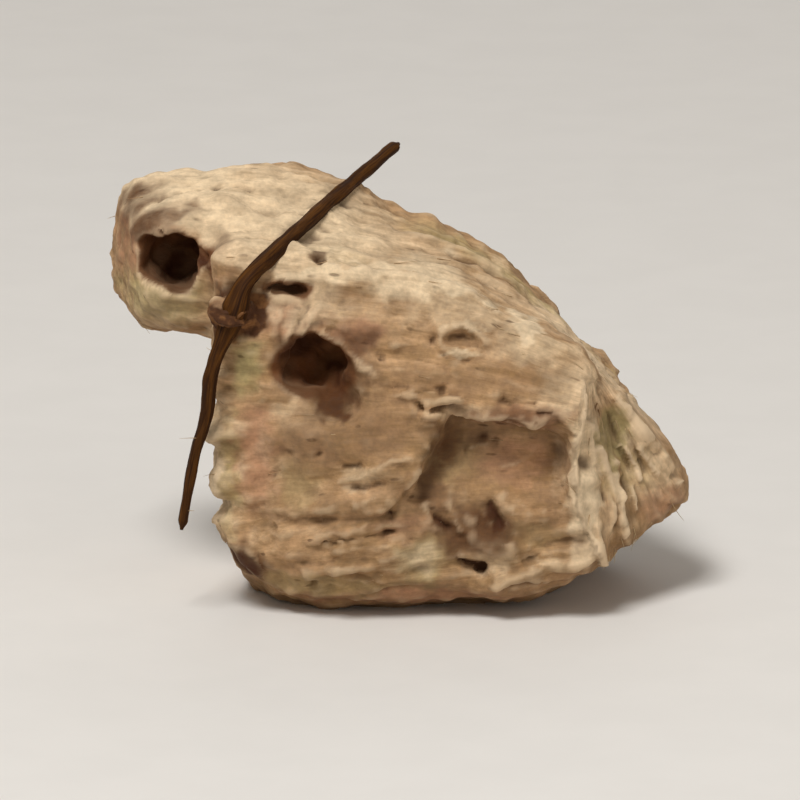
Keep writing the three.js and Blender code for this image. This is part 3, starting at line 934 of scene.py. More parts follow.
@dataclass
class RootSkin:
    """The chunk's own surface, from the crown of the arm to the face that it rests on."""

    voxel: float = 0.107
    worn_rounds: int = 16
    seed: int = 11
    resting_band: float = 0.03
    rootlet_thinning: float = 0.97
    bark_edge_y: float = 2.9
    bark_thickness: float = 0.12
    pared_depth: float = 0.3
    recess_depth: float = 0.05
    recess_corner_depth: float = 0.25
    recess_corner_reach: float = 1.1
    recess_end_x: float = 5.72
    recess_foot: Pair = (3.2, 5.2)
    recess_front: Pair = (2.2, 3.2)
    knot_sinking: float = 0.16
    tooth_height: float = 0.1
    tooth_beat: float = 6.2
    shaded_drop: float = 0.85

    lumps: Layer = Layer(0.12, 0.62, 0, 2)
    wide_wander: Layer = Layer(0.14, 1.1, 0)
    fine_wander: Layer = Layer(0.07, 3.1, 0)
    ragged_wander: Layer = Layer(0.32, 1.6, 0, 2)
    unevenness: Layer = Layer(0.35, 1.7, 5)
    bark_edge: Layer = Layer(0.7, 0.7, 0)
    fine_bark_edge: Layer = Layer(0.3, 2.2, 7)
    knot_edge: Layer = Layer(0.3, 1.1, 66)
    tooth_sway: Layer = Layer(1.4, 0.9, 0)
    tooth_breaks: Layer = Layer(1.0, (0.6, 0.6, 2.6), 0)
    coarse_fibres: Layer = Layer(0.0936, (0.16, 1.15, 1.15), 0, 2)
    fine_fibres: Layer = Layer(0.0468, (0.42, 2.5, 2.5), 40)
    tears: Layer = Layer(0.078, (0.55, 1.7, 1.7), 60, 2)
    clouds: Layer = Layer(0.09, 1.3, 20, 2)
    small_clouds: Layer = Layer(0.05, 2.5, 24)
    spokes: Layer = Layer(0.24, (0.1, 0.5, 1.7), 110)
    cracks: Layer = Layer(0.13, (0.2, 0.8, 0.8), 80)
    cracked: Layer = Layer(1.0, 0.45, 90)
    pits: Layer = Layer(0.12, (0.5, 1.0, 1.0), 4)
    pores: Layer = Layer(0.05, (1.1, 2.3, 2.3), 9)
    wrinkles: Layer = Layer(0.2, (0.5, 1.2, 1.25), 33, 2)
    rings: Layer = Layer(0.1, (1.5, 0.35, 0.35), 51)
    scales: Layer = Layer(0.06, 2.4, 70, 2)
    crumbs: Layer = Layer(0.2, (1.2, 0.6, 1.2), 21, 2)
    burls: Layer = Layer(0.24, (1.3, 0.9, 1.8), 44, 2)

    surface: Surface = field(init=False)
    normals: Array = field(init=False)
    facing: dict[Side, Array] = field(init=False)
    zones: Zones = field(init=False)

    def __post_init__(self) -> None:
        """Deals out the noise that all the relief is read from."""
        self.noise = Noise(self.seed)
        self.fibres = Fibres()

    def build(self, node: bpy.types.Object, finish: bpy.types.Material) -> tuple[bpy.types.Object, Surface]:
        """Makes the skin from the node's solid, shapes it and paints its stains.

        Args:
            node: The solid's object in the frame.
            finish: The material of dried root.

        Returns:
            The skin's object, and its surface in millimetres for the fibres that grow from it.
        """
        self.surface = Surface(self._fine_copy(node))
        for path in ROOTLET_PATHS:
            self._thin_rootlet(path)
        self._shape()
        self._paint()
        return placed("root_skin", self.surface.mesh, finish), self.surface

    def _fine_copy(self, node: bpy.types.Object) -> bpy.types.Mesh:
        """The solid's surface in small even faces, its facets worn away, in millimetres.

        Args:
            node: The solid's object in the frame.

        Returns:
            The fine mesh.
        """
        bm = bmesh.new()
        bm.from_mesh(node.data)
        bmesh.ops.remove_doubles(bm, verts=bm.verts, dist=1e-7)
        bmesh.ops.scale(bm, verts=bm.verts, vec=Vector((1, 1, 1)) / MM)
        mesh = bpy.data.meshes.new("solid_copy")
        bm.to_mesh(mesh)
        bm.free()
        clay = placed("clay", mesh)
        remesh = clay.modifiers.new("even faces", "REMESH")
        remesh.mode = "VOXEL"
        remesh.voxel_size = self.voxel
        wear = clay.modifiers.new("worn facets", "SMOOTH")
        wear.factor = 0.5
        wear.iterations = self.worn_rounds
        evaluated = clay.evaluated_get(bpy.context.evaluated_depsgraph_get())
        fine = bpy.data.meshes.new_from_object(evaluated)
        fine.name = "root_skin"
        bpy.data.objects.remove(clay)
        bpy.data.meshes.remove(mesh)
        return fine

    def _thin_rootlet(self, path: RootletPath, steps: int = 120, first: int = 14, last: int = 112) -> None:
        """Draws one of the skin's rootlets in to a thin core, which the rootlet's own piece covers.

        Args:
            path: The rootlet's centre line.
            steps: How many stretches of it are looked at.
            first: The first step that is drawn in, past the knot.
            last: The step that the tip is drawn back to.
        """
        points = self.surface.points
        line = path.line(steps)
        nearest = np.full(len(points), np.inf)
        centre = np.zeros_like(points)
        for step in range(first, len(line)):
            away = np.linalg.norm(points - line[step], axis=1)
            closer = away < nearest
            nearest = np.where(closer, away, nearest)
            centre[closer] = line[min(step, last)]
        near = rise(nearest, path.base_radius * 2.0, path.base_radius * 1.3)
        points += (centre - points) * (self.rootlet_thinning * near)[:, None]

    def _look(self, rounds: int) -> None:
        """Reads the normals, evened in so many rounds, and how squarely each point faces each side."""
        self.normals = self.surface.spread(self.surface.normals(), rounds)
        self.facing = {side: side.faces(unit(self.normals)) for side in Side}

    def _bark(self) -> Array:
        """Where bark is left: over the back with a torn edge, and in a patch low on the left.

        Returns:
            A number from 0 to 1 for each point.
        """
        points = self.surface.points
        normals = unit(self.normals)
        ragged = self.noise.swells(self.bark_edge, points) + self.noise.swells(self.fine_bark_edge, points)
        behind = points[:, 1] - self.bark_edge_y + ragged - 2.2 * rise(normals[:, 2], 0.2, 0.7)
        back = rise(behind, 0.0, 0.22) * rise(normals[:, 1] + 0.35, 0, 0.2)
        patch = rise(BARK_PATCH.away(points) + 0.3 * ragged, 1.1, 0.9)
        return np.maximum(back, patch)

    def _recess(self, points: Array) -> Array:
        """How far each point is inside the strip torn out under the ledge.

        Args:
            points: The surface's points, which may be strayed a little.

        Returns:
            A number from 0 to 1 for each point.
        """
        x, y, z = points.T
        below_ledge = rise(np.interp(x, *np.transpose(LEDGE)) - z, 0.0, 0.3)
        past_fold = rise(x - np.interp(z, *np.transpose(FOLD)), 0.0, 0.9)
        before_fan = rise(self.recess_end_x - x, 0.0, 0.3)
        above_foot = rise(z, *self.recess_foot)
        return below_ledge * past_fold * before_fan * above_foot * rise(-y, *self.recess_front)

    def _rotted(self, normals: Array) -> Array:
        """Which points are on the walls of the rotted holes, from 0 to 1."""
        return np.maximum.reduce([hole.walls(self.surface.points, normals) for hole in ROTTED_HOLES])

    def _shape(self) -> None:
        """Pushes the marks and the natural relief into the surface."""
        surface = self.surface
        points = surface.points
        resting = points[:, 2] < self.resting_band
        self._look(8)
        shifts = (3, 11, 29)
        bent = points + self.noise.wander(self.wide_wander, points, shifts)
        bent += self.noise.wander(self.fine_wander, points, shifts)
        drawn = self._marks(bent)
        recess = self._recess(0.6 * points + 0.4 * bent)
        bark = self._bark()
        heights = drawn + self.bark_thickness * bark + self._broad_forms(recess)
        surface.push(np.where(resting, 0, heights))

        rotted = self._rotted(unit(surface.normals()))
        calm = painted(CALM, bent, self.facing)
        self.zones = Zones(drawn, bark, recess, rotted, calm, self.fibres.in_fan(points))
        heights = self._torn_fibres() + self._bark_relief() + self._rim_teeth() + self._holes_and_knot()
        surface.push(surface.spread(np.where(resting, 0, heights), 1))
        points[:, 2] = np.where(resting, 0, np.maximum(points[:, 2], 0))

    def _marks(self, points: Array) -> Array:
        """The height of the ridges and furrows that are drawn on the sides.

        Args:
            points: The surface's points, strayed a little so that no line is quite straight.

        Returns:
            One height for each point.
        """
        heights = np.zeros(len(points))
        uneven = 0.85 + self.noise.swells(self.unevenness, points)
        for side, marks in MARKS.items():
            drawn = side.flatten(points)
            for item in marks:
                away = distance_to_line(drawn, item.line)
                heights += item.height * self.facing[side] * uneven * np.exp(-((away / item.width) ** 1.6))
        return heights

    def _broad_forms(self, recess: Array) -> Array:
        """The lumps, the torn strip, deepest in its upper left corner, and the pared back edge.

        Args:
            recess: How far each point is inside the torn strip.

        Returns:
            One height for each point.
        """
        points = self.surface.points
        x, y, _ = points.T
        corner = bell(distance_to_line(Side.FRONT.flatten(points), RECESS_CORNER), self.recess_corner_reach)
        torn = recess * (self.recess_depth + self.recess_corner_depth * corner)
        pared = rise(x, 1.5, 4.0) * rise(y, -1.0, 2.0) * rise(self.normals[:, 2], 0.1, 0.6)
        return self.noise.swells(self.lumps, points) - torn - self.pared_depth * pared

    def _torn_fibres(self) -> Array:
        """The layers of fibre, the cracks, pits and pores of the bare wood, and the fan's spokes.

        Returns:
            One height for each point.
        """
        noise = self.noise
        fan = self.zones.fan
        points = self.surface.points
        fibre = self.fibres.space(points)
        quiet = np.where(fan, 0.3, 1.0)
        heights = noise.crests(self.coarse_fibres, fibre) + noise.crests(self.fine_fibres, fibre)
        heights += np.where(fan, 0.4, 1.0) * noise.swells(self.tears, fibre)
        heights += quiet * (noise.swells(self.clouds, points) + noise.swells(self.small_clouds, points))
        crack = rise(np.abs(noise.at(self.cracks.places(fibre))), 0.07, 0.0)
        heights -= self.cracks.height * crack * rise(noise.swells(self.cracked, points), 0.05, 0.5)
        pits = rise(noise.spots(self.pits.places(fibre), 0.1), 0.24, 0.06)
        heights -= self.pits.height * np.where(fan, 0, pits)
        pores = rise(noise.spots(self.pores.places(fibre), 0.25), 0.3, 0.1)
        heights -= self.pores.height * quiet * pores
        end_grain = np.where(fan, 0, rise(np.abs(self.normals[:, 0]), 0.45, 0.9))
        spokes = np.where(fan, noise.crests(self.spokes, fibre), 0) * rise(fibre[:, 0], 0.9, 2.2)
        return self.zones.split_wood() * (1 - 0.35 * end_grain) * heights + spokes

    def _bark_relief(self) -> Array:
        """The wrinkles, rings and scales of the bark, strongest on the back.

        Returns:
            One height for each point.
        """
        noise = self.noise
        points = self.surface.points
        back = 0.35 + 0.65 * rise(self.normals[:, 1], 0.3, 0.9)
        wrinkled = noise.crests(self.wrinkles, points, 0.6) + noise.crests(self.rings, points, 0.6)
        return self.zones.bark * back * (wrinkled + noise.swells(self.scales, points))

    def _rim_teeth(self) -> Array:
        """Small uneven teeth of fibre along the left rim.

        Returns:
            One height for each point.
        """
        points = self.surface.points
        x, y, z = points.T
        band = rise(-5.6 - x, 0, 0.5) * rise(-2.4 - y, 0, 0.8) * rise(z, 2.2, 3.2) * rise(9.4 - z, 0, 0.8)
        beat = 0.6 * np.sin(z * self.tooth_beat + self.noise.swells(self.tooth_sway, points))
        return self.tooth_height * band * (beat + self.noise.swells(self.tooth_breaks, points))

    def _holes_and_knot(self) -> Array:
        """The crumbled walls of the rotted holes, and the burls of the knot.

        Returns:
            One height for each point.
        """
        points = self.surface.points
        knot = rise(KNOT_BALL.away(points), 1.5, 1.15)
        crumbled = self.zones.rotted * (0.05 + self.noise.swells(self.crumbs, points))
        return crumbled + knot * (self.noise.swells(self.burls, points) - self.knot_sinking)

    def _paint(self) -> None:
        """Keeps the stains, the painted shade and painted highlights, and the kinds of surface as
        attributes.
        """
        surface = self.surface
        points = surface.points
        self._look(10)
        normals = unit(self.normals)
        ragged = points + self.noise.wander(self.ragged_wander, points, (2, 19, 37))
        bark = self._bark()
        # Painted highlight on the fan's raised ribs.
        ribs = 0.75 * rise(self.zones.drawn, 0.07, 0.18) * self.fibres.in_fan(points)
        in_front = rise(-points[:, 1], 1.5, 2.5)
        # Painted highlight: a pale line along the crest.
        crest = 0.95 * in_front * bell(self._under_crest(ragged, 0.0), 0.3)
        # Painted shade: a darker band just below the crest.
        below_crest = 0.27 * in_front * bell(self._under_crest(ragged, self.shaded_drop), 0.45) * (1 - crest)
        # Painted shade on faces that look down.
        under = 0.4 * rise(-normals[:, 2], 0.1, 0.8)
        stained = {
            "pale": np.maximum.reduce([painted(PALE, ragged, self.facing), ribs, crest]),
            "khaki": painted(KHAKI, ragged, self.facing),
            "rosy": painted(ROSY, ragged, self.facing),
            "shade": np.maximum.reduce([painted(SHADE, ragged, self.facing), under, below_crest]),
        }
        for name, strength in stained.items():
            surface.tag(name, strength * (1 - bark))
        # Painted shade in the pit, the holes and the slits, and one dark rot patch.
        surface.tag("dark_rot_and_painted_hole_shade", painted(DARK_ROT_AND_PAINTED_HOLE_SHADE, ragged, self.facing))
        surface.tag("rot", self._rotted(normals))
        knot = rise(KNOT_BALL.away(ragged) + self.noise.swells(self.knot_edge, points), 1.6, 1.2)
        surface.tag("knot", knot * rise(ragged[:, 2], 11.6, 11.0))
        surface.tag("smooth", np.maximum(self._recess(points), self.zones.calm))
        surface.tag("bark", bark)
        surface.tag("fibre", self.fibres.space(points))
        self._paint_shade_wear_and_highlights(stained["shade"])

    @staticmethod
    def _under_crest(points: Array, drop: float) -> Array:
        """How far each point is, seen from the front, from a line that runs a drop below the crest."""
        return distance_to_line(Side.FRONT.flatten(points) + (0.2 * drop, drop), CREST)

    def _paint_shade_wear_and_highlights(self, shaded: Array) -> None:
        """Keeps the painted shade in the hollows and furrows, and the wear and painted highlights on the
        crests, as attributes.

        Args:
            shaded: How strongly each point is stained dark or painted in shade. It gets less wear and
                highlight there.
        """
        drawn = self.zones.drawn
        fan = self.fibres.in_fan(self.surface.points)
        fine = self.surface.relief(5)
        broad = self.surface.relief(60)
        # Painted shade in the drawn furrows and in the hollows of the relief; wear and painted highlights on
        # the drawn ridges, strongest on the fan's ribs, and on the crests of the relief.
        furrow = 0.25 * rise(-drawn, 0.03, 0.2)
        ridge = np.where(fan, 0.8, 0.25) * rise(drawn, 0.04, 0.22)
        hollow_shade = 0.45 * rise(-fine, 0.006, 0.055) + 0.6 * rise(-broad, 0.02, 0.3) + furrow
        worn = 0.5 * rise(fine, 0.004, 0.045) + 0.4 * rise(broad, 0.04, 0.3) + ridge
        # Kept for the material: the painted shade in the hollows, then the wear and painted highlights on
        # the crests.
        self.surface.tag("hollow", np.where(fan, 0.85, 1.0) * hollow_shade)
        self.surface.tag("proud", worn * (1 - 0.35 * shaded))


@dataclass
class Rootlet:
    """One wiry rootlet, shrivelled as it dried."""

    path: RootletPath
    sides: int = 22
    steps: int = 170
    seed: int = 5
    flare: float = 0.5
    torn_tip: float = 0.65
    sway: Layer = Layer(0.05, 0.5, 0)
    furrows: Layer = Layer(0.2, (1.95, 1.95, 0.275), 3)
    knots: Layer = Layer(0.12, (0.4, 0.4, 1.1), 8, 2)

    def build(self, finish: bpy.types.Material) -> bpy.types.Object:
        """Makes the rootlet along its path.

        Args:
            finish: The material of rootlet bark.

        Returns:
            The rootlet's object.
        """
        surface = Surface(upright_rods(self.path.name, 1, self.sides, self.steps))
        self._bend(surface)
        surface.in_metres()
        return placed(self.path.name, surface.mesh, finish)

    def _bend(self, surface: Surface) -> None:
        """Lays the straight rod along the path and wrinkles it.

        Args:
            surface: The rod, which is changed.
        """
        noise = Noise(self.seed)
        line = self.path.line(self.steps)
        ahead = unit(np.gradient(line, axis=0))
        up = unit(np.cross(ahead, (0.3, 1.0, 0.1)))
        across = np.cross(up, ahead)
        along = np.clip(surface.points[:, 2], 0, 1)
        ring = np.rint(along * self.steps).astype(int)
        section = surface.points[:, :2]
        length = np.linalg.norm(np.diff(line, axis=0), axis=1).sum()
        walked = along * length
        rod = np.column_stack([section, walked])
        crest = noise.ridges(self.furrows.places(rod))
        wrinkled = 1 + noise.swells(self.knots, rod) + self.furrows.height * (crest - 0.55)
        taper = self.path.base_radius + (self.path.tip_radius - self.path.base_radius) * along
        flared = 1 + self.flare * rise(-walked, -1.3, -0.2)
        torn = 1 - self.torn_tip * rise(walked, length - 0.35, length)
        reach = section * (taper * flared * torn * wrinkled)[:, None]
        swayed = line[ring] + noise.wander(self.sway, walked[:, None] * (1, 0, 0), (1, 14, 27))
        surface.points = swayed + across[ring] * reach[:, :1] + up[ring] * reach[:, 1:]
        surface.points[:, 2] = np.maximum(surface.points[:, 2], 0)
        surface.tag("fibre", np.column_stack([walked, section * 0.6]))
        # The bark's material darkens the furrows with painted shade.
        surface.tag("furrow", 1 - crest)


@dataclass
class LooseFibres:
    """Short fibres that tearing left along the edges, lying nearly flat on the wood."""

    count: int = 90
    length: Pair = (0.3, 0.8)
    radius: Pair = (0.012, 0.024)
    lift: Pair = (-0.02, 0.08)
    curl: float = 0.16
    stray: float = 0.12
    taper: float = 0.8
    sides: int = 3
    steps: int = 5
    seed: int = 23

    def build(self, skin: Surface, finish: bpy.types.Material) -> bpy.types.Object:
        """Grows the fibres from the skin.

        Args:
            skin: The chunk's finished surface, in millimetres.
            finish: The material of loose fibre.

        Returns:
            One object that holds them all.
        """
        rods = Surface(upright_rods("loose_fibres", self.count, self.sides, self.steps))
        self._grow(rods, skin)
        rods.in_metres()
        return placed("loose_fibres", rods.mesh, finish)

    def _grow(self, rods: Surface, skin: Surface) -> None:
        """Lays each rod on the skin, tapered, a little lifted and curled.

        Args:
            rods: The straight rods, which are changed.
            skin: The chunk's finished surface.
        """
        random = np.random.default_rng(self.seed)
        fibres = Fibres()
        normals = skin.normals()
        run = fibres.direction(skin.points, normals)
        chance = self._chance(skin.points, normals)
        roots = random.choice(len(skin.points), self.count, replace=False, p=chance / chance.sum())
        away = np.where(random.random(self.count) < 0.5, -1.0, 1.0)
        away = np.where(fibres.in_fan(skin.points[roots]), 1.0, away)[:, None]
        lengths = random.uniform(*self.length, self.count)[:, None]
        lift = random.uniform(*self.lift, self.count)[:, None]
        curl = random.normal(0, self.curl, (self.count, 3))
        heading = unit(run[roots] * away + random.normal(0, self.stray, (self.count, 3)))
        thickness = random.uniform(*self.radius, self.count)[:, None]
        beside = unit(np.cross(normals[roots], heading))

        number = np.floor(rods.points[:, 2] / 2 + 0.25).astype(int)
        along = rods.points[:, 2:] - 2 * number[:, None]
        out = normals[roots][number]
        centre = skin.points[roots][number] + out * (0.01 + lift[number] * along**2)
        centre += lengths[number] * (heading[number] * along + curl[number] * along**2 * 0.5)
        width = thickness[number] * (1 - self.taper * along)
        rods.points = centre + width * (beside[number] * rods.points[:, :1] + out * rods.points[:, 1:2])
        rods.points[:, 2] = np.maximum(rods.points[:, 2], 0.01)

    @staticmethod
    def _chance(points: Array, normals: Array) -> Array:
        """How likely a fibre is at each point: near the torn edges, and not where the chunk rests.

        Args:
            points: The skin's points.
            normals: Its normals.

        Returns:
            One number for each point.
        """
        x, y, z = points.T
        drawn = Side.FRONT.flatten(points)
        front = rise(-y, 2.0, 3.5)
        rim = rise(-x, 5.6, 6.3) * front * rise(9.5 - z, 0, 1)
        ridge = bell(distance_to_line(drawn, FAN_RIDGE), 0.5) * front
        fan = rise(x, 6.0, 7.0) * rise(-y, 0.0, 1.0) * rise(9.4 - x, 0.0, 0.4)
        crest = bell(distance_to_line(drawn, CREST), 0.5) * front
        arm_end = rise(-x, 8.6, 9.4)
        anywhere = rise(2.0 - y, 0, 1)
        edges = 0.5 * rim + 0.6 * ridge + 0.6 * fan + 0.35 * crest + 0.4 * arm_end + 0.05 * anywhere
        flat = 1 - rise(np.abs(normals[:, 0]), 0.6, 0.9)
        holes = np.maximum.reduce([rise(ball.away(points), 1.9, 1.6) for ball in (*ROTTED_HOLES, KNOT_BALL)])
        return edges * rise(z, 0.4, 1.0) * flat * (1 - holes)


# Materials

Colour = tuple[float, float, float, float]
Socket = bpy.types.NodeSocket
Value = Socket | float | tuple
Inputs = dict[str | int, Value]


def colour(code: str) -> Colour:
    """A colour given as six hexadecimal digits, as the linear values that a shader takes."""
    parts = (int(code[i:i + 2], 16) / 255 for i in (0, 2, 4))
    return (*(p / 12.92 if p <= 0.04045 else ((p + 0.055) / 1.055) ** 2.4 for p in parts), 1.0)


class Shading:
    """Adds and joins nodes in one node tree."""

    def __init__(self, tree: bpy.types.NodeTree) -> None:
        """Starts on an existing tree."""
        self.tree = tree

    def fill(self, node: bpy.types.Node, inputs: Inputs) -> None:
        """Links a socket to, or sets a value on, each of a node's inputs.

        Args:
            node: The node.
            inputs: The socket or the value for each input.
        """
        for name, value in inputs.items():
            if isinstance(value, bpy.types.NodeSocket):
                self.tree.links.new(value, node.inputs[name])
            else:
                node.inputs[name].default_value = value

    def add(self, kind: str, inputs: Inputs, out: str | int = 0, **settings: object) -> Socket:
        """Adds a node.

        Args:
            kind: The node's type.
            inputs: A socket to link, or a value to set, for each input.
            out: Which output to give back.
            **settings: The node's own settings.

        Returns:
            The output socket.
        """
        node = self.tree.nodes.new(kind)
        for name, setting in settings.items():
            setattr(node, name, setting)
        self.fill(node, inputs)
        return node.outputs[out]

    def attribute(self, name: str, out: str = "Fac") -> Socket:
        """A number or vector that the mesh keeps."""
        return self.add("ShaderNodeAttribute", {}, out, attribute_name=name)

    def object_place(self) -> Socket:
        """The place on the object, in millimetres."""
        return self.scaled(self.add("ShaderNodeTexCoord", {}, "Object"), (1 / MM, 1 / MM, 1 / MM))

    def maths(self, operation: str, a: Value, b: Value, clamp: bool = False) -> Socket:
        """Two numbers worked into one."""
        return self.add("ShaderNodeMath", {0: a, 1: b}, operation=operation, use_clamp=clamp)

    def blend(self, a: Socket, part_of_a: float, b: Socket, part_of_b: float) -> Socket:
        """A part of one number and a part of another."""
        return self.maths("ADD", self.maths("MULTIPLY", a, part_of_a), self.maths("MULTIPLY", b, part_of_b))

    def stretch(self, value: Value, low: float, high: float, start: float = 0.0, end: float = 1.0) -> Socket:
        """A number moved from one range to another, softly and within its ends."""
        ends = {"Value": value, 1: low, 2: high, 3: start, 4: end}
        return self.add("ShaderNodeMapRange", ends, interpolation_type="SMOOTHSTEP")

    def mix(self, share: Value, a: Value, b: Value, blend: str = "MIX") -> Socket:
        """Two colours mixed."""
        return self.add("ShaderNodeMix", {0: share, 6: a, 7: b}, 2, data_type="RGBA", blend_type=blend)

    def mottled(self, noise: Socket, low: float, high: float, dark: str, light: str) -> Socket:
        """One colour where a noise is low, and another where it is high."""
        return self.mix(self.stretch(noise, low, high), colour(dark), colour(light))

    def mix_numbers(self, share: Value, a: Value, b: Value) -> Socket:
        """Two numbers mixed."""
        return self.add("ShaderNodeMix", {0: share, 2: a, 3: b}, 0, data_type="FLOAT")

    def scaled(self, vector: Socket, scale: Triple) -> Socket:
        """A vector stretched along its axes."""
        return self.add("ShaderNodeMapping", {"Vector": vector, "Scale": scale})

    def noise(self, vector: Socket, scale: float, detail: float = 3.0, rough: float = 0.55) -> Socket:
        """Cloudy noise from 0 to 1."""
        inputs = {"Vector": vector, "Scale": scale, "Detail": detail, "Roughness": rough}
        return self.add("ShaderNodeTexNoise", inputs, "Fac")

    def spots(self, vector: Socket) -> Socket:
        """Distance to the nearest of scattered spots, one to each unit."""
        inputs = {"Vector": vector, "Scale": 1.0, "Randomness": 1.0}
        return self.add("ShaderNodeTexVoronoi", inputs, "Distance")

    def bump(self, height: Socket, depth: float) -> Socket:
        """The normal of a surface with fine relief."""
        return self.add("ShaderNodeBump", {"Strength": 1.0, "Distance": depth, "Height": height})

    def group(self, tree: bpy.types.NodeTree, inputs: Inputs) -> bpy.types.bpy_prop_collection:
        """A shared effect placed in this tree.

        Args:
            tree: The effect's group.
            inputs: A socket to link, or a value to set, for each input.

        Returns:
            The effect's outputs.
        """
        node = self.tree.nodes.new("ShaderNodeGroup")
        node.node_tree = tree
        self.fill(node, inputs)
        return node.outputs


class Effect(Shading):
    """A shader group with named inputs and outputs, for more than one finish."""

    def __init__(self, name: str, inputs: dict[str, str], outputs: tuple[str, ...]) -> None:
        """Makes the group and its sockets.

        Args:
            name: What the effect is called.
            inputs: Each input's socket type.
            outputs: The outputs, which are all numbers.
        """
        super().__init__(bpy.data.node_groups.new(name, "ShaderNodeTree"))
        for label, kind in inputs.items():
            self.tree.interface.new_socket(label, in_out="INPUT", socket_type=kind)
        for label in outputs:
            self.tree.interface.new_socket(label, in_out="OUTPUT", socket_type="NodeSocketFloat")
        self.given = self.tree.nodes.new("NodeGroupInput").outputs

    def give_out(self, results: dict[str, Socket]) -> bpy.types.NodeTree:
        """Joins the results to the outputs, and gives back the finished group."""
        self.fill(self.tree.nodes.new("NodeGroupOutput"), results)
        return self.tree


def fibre_streaks() -> bpy.types.NodeTree:
    """Shared effect: fine streaks along the fibres.

    Returns:
        The group, which puts out a tone and a height.
    """
    inputs = {"Fibre": "NodeSocketVector", "Scale": "NodeSocketFloat"}
    s = Effect("Fibre streaks", inputs, ("Tone", "Height"))
    factors = {0: s.given["Fibre"], "Scale": s.given["Scale"]}
    vector = s.add("ShaderNodeVectorMath", factors, operation="SCALE")
    long_ones = s.noise(s.scaled(vector, (0.22, 2.2, 2.2)), 1.0, 4.0, 0.6)
    short_ones = s.noise(s.scaled(vector, (0.9, 7.5, 7.5)), 1.0, 3.0, 0.6)
    hairs = s.noise(s.scaled(vector, (1.6, 16.0, 16.0)), 1.0, 2.0, 0.6)
    tone = s.blend(long_ones, 0.6, short_ones, 0.4)
    return s.give_out({"Tone": tone, "Height": s.blend(short_ones, 0.65, hairs, 0.35)})


def ragged_edge() -> bpy.types.NodeTree:
    """Shared effect: a soft mask whose edge is broken up by a noise.

    Returns:
        The group, which puts out the broken mask.
    """
    s = Effect("Ragged edge", {"Mask": "NodeSocketFloat", "Noise": "NodeSocketFloat"}, ("Mask",))
    mask = s.given["Mask"]
    shifted = s.maths("MULTIPLY", s.maths("SUBTRACT", s.given["Noise"], 0.5), 1.1)
    broken = s.maths("ADD", mask, s.maths("MULTIPLY", shifted, s.stretch(mask, 0.0, 0.25)))
    return s.give_out({"Mask": s.stretch(broken, 0.0, 0.95)})


@dataclass(frozen=True)
class SharedEffects:
    """The shader groups that more than one finish uses."""

    streaks: bpy.types.NodeTree
    ragged: bpy.types.NodeTree


class Finish(Shading):
    """A material being made."""

    def __init__(self, name: str) -> None:
        """Makes the material, with its Principled shader ready for its nodes.

        Args:
            name: The material's name.
        """
        self.material = bpy.data.materials.new(name)
        self.material.use_nodes = True
        super().__init__(self.material.node_tree)

    def done(
        self, base: Socket, roughness: Value, gloss: float, normal: Socket | None = None
    ) -> bpy.types.Material:
        """Joins the results to the shader.

        Args:
            base: The colour.
            roughness: How dull it is, from 0 to 1.
            gloss: The shader's specular level. The usual one is 0.5.
            normal: The normal, where it has fine relief.

        Returns:
            The finished material.
        """
        inputs = {"Base Color": base, "Roughness": roughness, "Specular IOR Level": gloss}
        if normal:
            inputs["Normal"] = normal
        self.fill(self.tree.nodes["Principled BSDF"], inputs)
        return self.material


@dataclass(frozen=True)
class DriedRootFinish:
    """Torn and weathered root wood, with bark left on the back."""

    wood: str = "b8936c"
    dull_wood: str = "98764f"
    pale: str = "dcc39f"
    khaki: str = "aa9868"
    rosy: str = "a87a5c"
    # Dark brown of the dark stains and of the painted shade.
    shade: str = "5a3a20"
    bark: str = "6e523c"
    pale_bark: str = "8e7557"
    # Painted shade in the hollows and the pores.
    hollow_shade: str = "42260f"
    # Painted shade in the pit, the holes and the slits, and dark rot.
    dark_rot_and_painted_hole_shade: str = "4a270f"
    rot: str = "5a3618"
    deep_rot: str = "683a18"
    knot: str = "80552f"
    dark_knot: str = "492a13"
    # Pale colour of the wear and the painted highlights on the crests.
    worn: str = "dcc09c"
    roughness: float = 0.86
    bump_depth: float = 0.042 * MM

    def material(self, effects: SharedEffects) -> bpy.types.Material:
        """Builds the material.

        Args:
            effects: The shared groups.

        Returns:
            The finish of dried root.
        """
        s = RootMaterial(self, effects)
        # The pale stain holds painted highlights, and the shade stain mostly painted shade.
        stains = {"rosy": self.rosy, "khaki": self.khaki, "pale": self.pale, "shade": self.shade}
        for name, code in stains.items():
            s.cover(s.ragged_mask(name, s.break_up), colour(code))
        s.cover(s.ragged_mask("bark", s.grain), s.mottled(s.clouds, 0.4, 0.65, self.bark, self.pale_bark))
        s.make_uneven()
        # Painted shade in the pores and the hollows, then wear and painted highlights on the crests.
        s.cover(s.maths("MULTIPLY", s.pores, 0.6), colour(self.hollow_shade))
        s.cover(s.part_of("hollow", 0.85), colour(self.hollow_shade))
        s.cover(s.part_of("proud", 0.6), colour(self.worn))
        s.cover(s.part_of("rot", 0.9), s.mottled(s.clouds, 0.35, 0.65, self.deep_rot, self.rot))
        # Painted shade in the pit, the holes and the slits, and one dark rot patch.
        s.cover(s.ragged_mask("dark_rot_and_painted_hole_shade", s.break_up), colour(self.dark_rot_and_painted_hole_shade))
        burls = s.noise(s.place, 1.7, 3.0)
        s.cover(s.ragged_mask("knot", s.break_up), s.mottled(burls, 0.42, 0.62, self.dark_knot, self.knot))

        relief = s.blend(s.relief, 0.7, s.grain, 0.3)
        relief = s.maths("SUBTRACT", relief, s.maths("MULTIPLY", s.pores, 0.4))
        roughness = s.stretch(s.grain, 0.3, 0.7, self.roughness - 0.08, self.roughness + 0.08)
        return s.done(s.base, roughness, 0.3, s.bump(relief, self.bump_depth))


